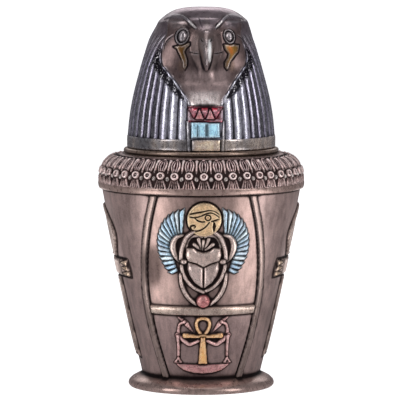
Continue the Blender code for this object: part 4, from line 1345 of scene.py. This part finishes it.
    def tone_cloth(self, relief: Relief, angle: Array, height: Array, phase: Array) -> None:
        """Paints light and shade on the headcloth: painted highlights make the ribs pale and broad in front, painted
        shade leaves dark slats with bright painted edges at the sides, and the temples get painted shadow.

        Args:
            relief: The head's drawing.
            angle: The angles of its points.
            height: Their heights above the seat.
            phase: Their places across their ribs.
        """
        # Painted shade at the sides, and painted highlights across the ribs in front and on the slats' edges at the
        # sides.
        side = ease(np.abs(angle), 0.5, 0.8) * (1 - ease(height, 50, 58))
        shaded_slat = 1 - bump(phase, 0.15, 0.12)
        tone = 1.06 + 1.05 * (1 - side) * bump(phase, 0.4, 0.3) + side * (0.02 - 1.05 * shaded_slat)
        relief.colour *= tone[..., None]
        # Painted shadow on the temples under the crown's overhang.
        temple_shadow = ease(height, 44, 55) * (1 - ease(np.abs(angle), 1.3, 1.8))
        relief.tint(temple_shadow, TEMPLE_SHADOW.colour)
        relief.colour *= 1 + side[..., None] * (np.array(self.rib_tint) - 1)

    def face_radii(self, angles: Array, height: float) -> tuple[Array, float]:
        """The face's radius at each angle of one row, and the angle of its edge.

        Args:
            angles: The columns' angles.
            height: The row's height above the seat.

        Returns:
            The radii and the edge's angle.
        """
        share = self.share(height)
        level = height + self.seat
        edge = math.radians(float(through(self.face_edge, share)))
        rim = float(self.cloth_radius(np.array(height))) + 0.4
        half = rim * math.sin(edge)
        offset = np.linspace(-half, half, 161)
        middle = self.base_radius * float(through(self.face_line, share))
        out = np.abs(offset / half)
        depth = middle + (rim * math.cos(edge) - middle) * out**2.4
        moved = np.abs(offset - self.face_shift(level))
        wide = np.clip(moved / float(through(self.muzzle_half, level)), 0, 1)
        narrow = np.clip(moved / float(through(self.beak_half, level)), 0, 1)
        depth = depth + float(through(self.muzzle, level)) * (1 - wide**2) ** 1.5
        depth = depth + float(through(self.beak, level)) * (1 - narrow**1.6)
        return np.interp(angles, np.arctan2(offset, depth), np.hypot(offset, depth)), edge

    @staticmethod
    def face_shift(level: Array | float) -> Array:
        """How far the face's middle lies to one side at a level."""
        return 0.8 * ease(np.asarray(level, float), 152, 166)

    @staticmethod
    def crown_shift(level: Array | float) -> Array:
        """How far the crown leans to one side at a level."""
        return 1.1 * ease(np.asarray(level, float), 182, 194)

    def draw_face(self, relief: Relief) -> None:
        """Draws the falcon's eyes, brows, beak and cheek marks.

        Args:
            relief: The head's drawing.
        """
        throat = both(((6, 150), (12, 160), (11, 168)))
        relief.paint(relief.area(throat, margin=4), THROAT, 3.0)
        # Painted highlight: the breast above the chest panel is painted pale.
        breast_highlight = ((-7.5, 148), (7.5, 148), (6.5, 156), (-8, 156))
        relief.paint(relief.area(breast_highlight, margin=4), BREAST_HIGHLIGHT, 3.0)
        muzzle = both(((-1.5, 167.5), (-5.4, 170.6), (-8.6, 176.0), (-7.4, 183), (-3.4, 189)))
        relief.paint(relief.area(muzzle, margin=3), BEAK, 2.5)
        # Painted highlight: a bright streak down the beak's right flank.
        relief.paint(relief.oval(1.5, 177.8, 0.9, 5.8), BEAK_HIGHLIGHT, 0.8, 0.95)
        forehead = ((-9.5, 196.5), (-4.6, 189.5), (0, 187), (4.6, 189.5), (9.5, 196.5), (0, 197.5))
        relief.paint(relief.area(forehead, margin=3), FOREHEAD, 2.0)
        right_mark = ((9.0, 181.0), (9.8, 178.3), (11.6, 176.2), (11.0, 174.0), (9.5, 171.8), (9.5, 169.4),
                      (10.6, 167.8), (11.6, 168.3), (12.3, 170.3), (13.1, 172.2), (14.9, 174.6), (17.0, 177.0),
                      (17.6, 180.6), (14.0, 181.2))
        left_mark = ((-8.2, 182.1), (-8.2, 180.6), (-10.0, 179.1), (-11.0, 177.2), (-10.2, 174.8), (-9.6, 172.7),
                     (-9.8, 170.1), (-11.0, 167.9), (-12.1, 169.3), (-12.1, 171.5), (-13.0, 174.1), (-13.9, 176.2),
                     (-15.1, 178.6), (-16.8, 179.8), (-13.6, 180.6))
        socket = ((19, 192.8), (10, 193.2), (6, 189.5), (8, 187), (14, 190.5), (18, 188.0))
        roll = ((20.8, 193.6, 0.4), (18.2, 195.0, 2.2), (15.2, 195.3, 2.6), (11.8, 195.0, 2.2), (9.4, 193.8, 1.6))
        under = ((18.5, 192.4), (15.5, 193.6), (11.5, 193.4), (9.5, 190.8), (12, 189.4), (16.5, 189.8))
        brow = ((11.6, 195.0, 1.0), (9.4, 193.6, 1.7), (7.9, 192.2, 1.9), (6.6, 190.9, 1.6), (4.9, 189.3, 0.8))
        brow_highlight = ((8.2, 192.5, 0.4), (6.6, 190.9, 0.9), (5.2, 189.5, 0.5))
        cheek = ((21.6, 178.6, 0.5), (21.0, 181.0, 0.6), (19.4, 183.6, 0.6), (16.6, 185.6, 0.4))
        gape = ((4.2, 176.4, 0.3), (6.0, 176.5, 0.55), (8.9, 177.1, 0.4))
        nostril = ((1.6, 182.6, 0.4), (2.5, 183.2, 0.8), (2.8, 184.2, 0.35))
        grooves = ((cheek, 0.25, 0.75, 0.25), (gape, 0.35, 0.85, 0.25), (nostril, 0.25, 0.8, 0.25))
        for side, across, up, wide, high, mark in ((1, 12.3, 185.0, 3.0, 3.9, right_mark),
                                                   (-1, 12.1, 185.2, 3.4, 4.5, left_mark)):
            relief.sink(relief.area(mirrored(socket, side), margin=3), 0.45, 0.0, 2.6)
            relief.plate(MARK, mark, 0.35, 0.5, 0.05, 1.0)
            relief.paint(relief.oval(mark[-1][0] - side * 1.0, 170.0, 1.8, 3.0), MARK_TAIL, 1.2, 0.7)
            relief.paint(relief.oval(side * 12.8, 178.0, 1.0, 2.2, side * 20), MARK_DEEP, 0.8, 0.45 + 0.25 * side)
            outline = tuple((*spot, 0.45) for spot in mark)
            relief.sink(relief.line(outline, closed=True, straight=True), 0.12, 0.9, 0.25)
            lean = side * 22
            relief.mould(relief.oval(side * across, up, wide, high, lean), EYE_RING, 0.55, 0.5, 0.1, 0.9)
            relief.sink(relief.oval(side * (across - 0.1), up, wide - 0.7, high - 0.7, lean), 0.9, 1.0, 0.35)
            ball = relief.oval(side * (across - 0.3), up, wide - 1.3, high - 1.5, side * 20)
            relief.mould(ball, EYE, 0.5, 0.8, 1.5, 0.0)
            relief.ridge(ROLL, roll, 0.1, 1.2, 0.3, 0.0, side=side)
            # Painted light: under each brow the wash is kept off, and the left one is painted light as a painted
            # highlight, while the right one takes the roll's darker coat.
            below = relief.area(mirrored(under, side), margin=3)
            relief.clean(below, 1.0, 1.5)
            relief.paint(below, FOREHEAD_HIGHLIGHT if side < 0 else ROLL, 2.4, 0.85)
            relief.ridge(ROLL, brow, 0.4, 0.9, 0.55, 0.3, side=side)
            # Painted highlight: a bright thin stroke on each brow's inner end.
            relief.paint(relief.line(mirrored(brow_highlight, side)), BROW_HIGHLIGHT, 0.3)
            for path, *shape in grooves:
                relief.groove(path, *shape, side=side)
        groove = ((-3.4, 195.0, 0.8), (-2.9, 192.6, 1.3), (-1.9, 189.6, 0.9))
        relief.groove(groove, 0.12, 0.6, 0.6)
        # Painted highlight: a light stroke down the forehead's ridge.
        relief.paint(relief.line(((0.7, 194.6, 0.4), (0.7, 192, 1.6), (0.4, 189.0, 1.2))), FOREHEAD_HIGHLIGHT, 1.3)
        relief.mould(relief.oval(0.4, 187.6, 1.9, 0.9), THROAT, 0.1, 0.8, 0.25, 0.0)

    def stipple_recess(self, relief: Relief, angle: Array, height: Array, edge: Array, radii: Array) -> None:
        """Sinks a band beside each cheek, darkens it with wash for both its patina and the painted shade in the
        recess, and strews it with small bright dots.

        Args:
            relief: The head's drawing.
            angle: The angles of its points.
            height: Their heights above the seat.
            edge: The angle of the face's edge in each row, or 0.
            radii: Their radii.
        """
        away = (np.abs(angle) - edge) * radii
        reach = through(((20, 1.0), (25, 4.5), (32, 8.5), (42, 9.5), (50, 7.0), (57, 3.0)), height)
        band = ease(away, 0.9, 1.6) * (1 - ease(away, reach - 3.5, reach)) * ease(height, 22, 27)
        band = band * (1 - ease(height, 50, 57)) * (edge > 0)
        chance = np.random.default_rng(self.seed)
        dots = ease(chance.random(angle.shape), 0.74, 0.86)
        relief.height += band * (0.25 * dots - 0.45)
        relief.tint(band * dots, self.dot_colour)
        # The dark wash here is both patina and painted shade in the recess.
        relief.darken(band * (0.88 - 0.88 * dots))

    def draw_panel(self, relief: Relief) -> None:
        """Draws the chest panel: a toothed red band, a blue plate of bars and a gold plate, between two edges.

        Args:
            relief: The lid's drawing.
        """
        red = ((-9.2, 142.4), (9.0, 141.4), (9.0, 149.4), (-9.2, 149.6))
        # Painted light: the dark wash is kept off the crease above the red band, which is left light.
        relief.clean(relief.area(((-8, 149), (8, 149), (10, 154), (-10, 154))), 0.75, 2.0)
        relief.plate(PANEL_RED, red, 0.55, 0.4)
        for up in (141.9, 149.1):
            relief.paint(relief.stripe(-8.9, up, 8.7, up, 0.7), PANEL_SCARLET, 0.3)
        for middle in (-3.2, 2.3):
            tooth = ((middle - 2.1, 143.1), (middle + 2.1, 143.0), (middle, 147.6))
            relief.plate(PANEL_ROSE, tooth, 0.25, 0.3, 0, 0.9, 0.5)
        for left, middle, right in ((-8.6, -6.0, -3.8), (-2.6, -0.4, 1.7), (2.9, 5.2, 8.2)):
            tooth = ((left, 148.5), (right, 148.4), (middle, 143.7))
            relief.plate(PANEL_SCARLET, tooth, 0.25, 0.3, 0, 0.9, 0.5)
        blue = ((-7.4, 133.5), (7.2, 133.7), (7.2, 141.0), (-7.4, 141.4))
        relief.plate(PANEL_BLUE, blue, 0.55, 0.4)
        for across in (-4.5, -3.6, 0.1, 1.1):
            relief.sink(relief.stripe(across, 134.2, across, 140.4, 0.45), 0.3, 0.95, 0.2)
        relief.mould(relief.box(-7.0, 126.8, 7.2, 132.2), PANEL_GOLD, 0.5, 0.4, 0.1)
        for side in (1, -1):
            edge = ((side * 8.6, 127.0, 1.3), (side * 9.1, 133.0, 1.4), (side * 9.6, 141.4, 1.4))
            relief.mould(relief.line(edge, straight=True), PANEL_EDGE, 0.4, 0.4, 0.1)

    def carve_face(self, cloth: Array, angles: Array, levels: Array) -> tuple[Array, Array]:
        """Carves the face out of the headcloth, whose radii change with it.

        Args:
            cloth: The headcloth's radii, row by row.
            angles: The columns' angles.
            levels: The rows' heights above the seat.

        Returns:
            A mask of the face, and the angle of its edge in each row, or 0.
        """
        masked = np.zeros_like(cloth)
        edges = np.zeros((len(levels), 1))
        for row, level in enumerate(levels):
            share = np.array(self.share(level))
            if self.face_low < share < self.face_high:
                face, edge = self.face_radii(angles, level)
                mask = 1 - ease(np.abs(angles), edge - 0.02, edge + 0.006)
                masked[row] = mask * ease(share, 0.20, 0.235) * (1 - ease(share, 0.87, 0.975))
                cloth[row] += (face - cloth[row]) * masked[row]
                edges[row] = edge
        return masked, edges

    def tone_crown(self, face: Relief, height: Array, behind: Array, masked: Array) -> None:
        """Coats the smooth crown over the ribs, with a painted highlight on its top that fades towards the back.

        Args:
            face: The head's drawing.
            height: Its points' heights above the seat.
            behind: How far they lie behind the jar's axis.
            masked: The mask of the face.
        """
        crown = ease(height, *self.crown_blend) * (1 - masked)
        # Painted highlight: the crown's top is painted lighter, less so towards the back.
        top = np.array(CROWN.colour) * (0.58 + 1.15 * ease(height, *self.crown_highlight))[..., None]
        top = top * (1 - 0.45 * ease(behind, -1, 13))[..., None]
        face.polish += crown * (CROWN.polish - face.polish)
        face.tint(crown, top)

    def tone_band(self, whole: Relief, angles: Array) -> None:
        """Coats the hollow and the base band, with painted reflections round the band: soft light and dark streaks,
        lighter towards its right.

        Args:
            whole: The lid's drawing.
            angles: The columns' angles.
        """
        start = len(self.hollow)
        whole.colour[: start - 1] = INSIDE.colour
        band = whole.colour[start : start + len(self.base)]
        band[:, np.abs(angles) > math.radians(self.panel_angle) * 0.72] = BASE_BAND.colour
        # Painted reflections: light and dark streaks round the band, lighter on the viewer's right.
        streaks = 0.35 * np.sin(9 * angles + 0.6) + 0.3 * np.sin(17 * angles + 2) + 0.2 * np.sin(41 * angles)
        streaks = np.clip(streaks + 0.6 * np.sin(np.clip(angles * 1.6, -math.pi / 2, math.pi / 2)), -0.8, 1.4)
        band *= 1 + streaks[:, None] * (0.9, 0.87, 0.8)

    def build(self) -> bpy.types.Object:
        """Builds the lid.

        Returns:
            The lid, dressed.
        """
        angles = spread(self.columns)
        head = self.profile()
        rows = np.vstack([self.hollow, self.base, head])
        above = slice(len(rows) - len(head), None)
        sheet = Sheet.turned(rows, angles)
        angle, height, radii = sheet.angles[above], sheet.heights[above], sheet.radii[above]
        lower, phase = self.ribbing(angle, height[:, :1])
        radii -= lower
        masked, edges = self.carve_face(radii, angles, head[:, 1])
        placed = Sheet(sheet.angles + math.radians(self.turn), sheet.radii, sheet.heights + self.seat)
        whole = Relief.blank(sheet.radii * sheet.angles, placed.heights, SILVER)
        turned = np.abs(angle)
        past = math.sin(self.bend) + math.cos(self.bend) * (turned - self.bend)
        front = radii * np.sign(angle) * np.where(turned < self.bend, np.sin(turned), past)
        level = placed.heights[above]
        face = Relief(front + self.crown_shift(level) - self.face_shift(level), level, *whole.layers(above))
        self.tone_cloth(face, angle, height, phase)
        face.tint(masked, FACE.colour)
        face.polish += masked * FACE.polish
        self.tone_crown(face, height, -radii * np.cos(angle), masked)
        self.draw_face(face)
        self.stipple_recess(face, angle, height, edges, radii)
        away = (turned - edges) * radii
        live = (edges > 0) * ease(height, 20, 26) * (1 - ease(height, 50, 54))
        face.height += live * self.cheek_rise * bump(away, 0.8, 0.6)
        face.darken(live * 0.9 * bump(away, -0.3, 0.5))
        self.draw_panel(whole)
        self.tone_band(whole, angles)
        points = placed.raised(whole.height)
        points[above, :, 0] += self.crown_shift(level)
        lid = woven("falcon_lid", points, whole)
        Patina("gunmetal bronze", wash=(0.008, 0.006, 0.010), rub=(0.80, 0.78, 0.86), roughness=0.27,
               strokes=0.22).dress(lid)
        return lid


# Stage, light and camera


@dataclass(frozen=True)
class Softbox:
    """A flat studio light that looks at the jar, or lies on the floor and faces up."""

    name: str
    azimuth: float
    height: float
    distance: float
    size: tuple[float, float]
    glow: float
    colour: Colour = (1, 1, 1)
    flat: bool = False
    aim: float = 0.11

    def build(self) -> None:
        """Adds the light."""
        turn = math.radians(self.azimuth)
        place = Vector((self.distance * math.sin(turn), -self.distance * math.cos(turn), self.height))
        bpy.ops.object.light_add(type="AREA", location=place)
        light = bpy.context.object
        light.name = self.name
        if self.flat:
            light.rotation_euler = (math.pi, 0, turn)
        else:
            light.rotation_euler = (Vector((0, 0, self.aim)) - place).to_track_quat("-Z", "Y").to_euler()
        light.data.shape = "RECTANGLE"
        light.data.size, light.data.size_y = self.size
        light.data.energy = self.glow * math.pi * self.size[0] * self.size[1]
        light.data.color = self.colour


@dataclass
class Studio:
    """A plain pale floor that turns up into a wall, soft lights and the camera."""

    floor: Colour = (0.86, 0.86, 0.87)
    reach: float = 6.0
    rim: float = 2.0
    rim_steps: int = 8
    stage_glow: float = 0.9
    room: Colour = (0.92, 0.92, 1.0)
    room_glow: float = 0.15
    lights: tuple[Softbox, ...] = (
        Softbox("left softbox", -56, 0.62, 1.1, (0.34, 0.9), 3.2),
        Softbox("right softbox", 52, 0.66, 1.1, (0.34, 0.9), 3.4),
        Softbox("top softbox", 0, 1.35, 0.10, (0.8, 0.5), 1.8),
        Softbox("rear softbox", 180, 0.75, 1.1, (1.4, 0.5), 1.2),
        Softbox("left floor card", -54, 0.004, 0.31, (0.13, 0.34), 2.5, flat=True),
        Softbox("right floor card", 58, 0.004, 0.31, (0.15, 0.34), 2.4, flat=True),
        Softbox("rear floor card", 180, 0.004, 0.34, (0.5, 0.3), 0.9, flat=True),
    )
    camera_place: tuple[float, float, float] = (-0.03606, -1.47556, 0.2305)
    camera_aim: float = 0.0963
    focal_pixels: float = 2805
    shift: tuple[float, float] = (0.00198, 0.0032)

    def build_stage(self) -> None:
        """Adds the floor, raised at its rim by extruding it outwards and up."""
        bpy.ops.object.select_all(action="DESELECT")
        bpy.ops.mesh.primitive_circle_add(vertices=96, radius=self.reach, fill_type="NGON")
        floor = bpy.context.object
        floor.name = "stage_floor"
        bpy.ops.object.mode_set(mode="EDIT")
        bpy.ops.mesh.select_mode(type="EDGE")
        for step in range(1, self.rim_steps + 1):
            last, turn = (math.pi / 2 * part / self.rim_steps for part in (step - 1, step))
            before, out = (self.reach + self.rim * math.sin(part) for part in (last, turn))
            bpy.ops.mesh.select_all(action="SELECT")
            bpy.ops.mesh.region_to_loop()
            rise = self.rim * (math.cos(last) - math.cos(turn))
            bpy.ops.mesh.extrude_edges_move(TRANSFORM_OT_translate={"value": (0, 0, rise)})
            bpy.ops.transform.resize(value=(out / before, out / before, 1), center_override=(0, 0, 0))
        bpy.ops.mesh.select_mode(type="VERT")
        bpy.ops.object.mode_set(mode="OBJECT")
        bpy.ops.object.shade_smooth()
        floor.visible_glossy = False
        bench = Bench("pale stage")
        cloud = bench.noise(900, 2)
        tone = bench.mix(cloud, self.floor, tuple(0.97 * part for part in self.floor))
        floor.data.materials.append(bench.shaded({"Base Color": tone, "Roughness": 0.9, "Emission Color": (1, 1, 1, 1),
                                                  "Emission Strength": self.stage_glow}))

    def build_world(self) -> None:
        """Fills the rest of the room with dim, even light."""
        world = bpy.data.worlds.new("studio")
        world.use_nodes = True
        background = world.node_tree.nodes["Background"]
        background.inputs["Color"].default_value = (*self.room, 1)
        background.inputs["Strength"].default_value = self.room_glow
        bpy.context.scene.world = world

    def build_camera(self) -> None:
        """Puts the camera where the photograph was taken from."""
        place = Vector(self.camera_place)
        bpy.ops.object.camera_add(location=place)
        camera = bpy.context.object
        camera.rotation_euler = (Vector((0, 0, self.camera_aim)) - place).to_track_quat("-Z", "Y").to_euler()
        camera.data.sensor_width = 36
        camera.data.lens = self.focal_pixels * camera.data.sensor_width / PHOTO_WIDTH
        camera.data.shift_x, camera.data.shift_y = self.shift
        bpy.context.scene.camera = camera

    def build(self) -> None:
        """Builds the studio."""
        bpy.context.scene.view_settings.view_transform = "Standard"
        self.build_camera()
        self.build_stage()
        self.build_world()
        for light in self.lights:
            light.build()


def main() -> None:
    """Builds the studio and the jar's pieces, hangs each on the root body, hides the imported part it stands for and
    logs its triangles.
    """
    logging.basicConfig(level=logging.INFO, format="%(name)s: %(message)s")
    Studio().build()
    vessel = Vessel()
    pieces = ((vessel.build(), "jar"), (SunDisc().build(vessel), "jar"), (Shoulder().build(), "jar"),
              (Lid().build(), "lid"))
    for piece, node in pieces:
        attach(piece, "root")
        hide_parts(node)
        piece.data.calc_loop_triangles()
        LOG.info("%s: %d triangles", piece.name, len(piece.data.loop_triangles))


if __name__ == "__main__":
    main()
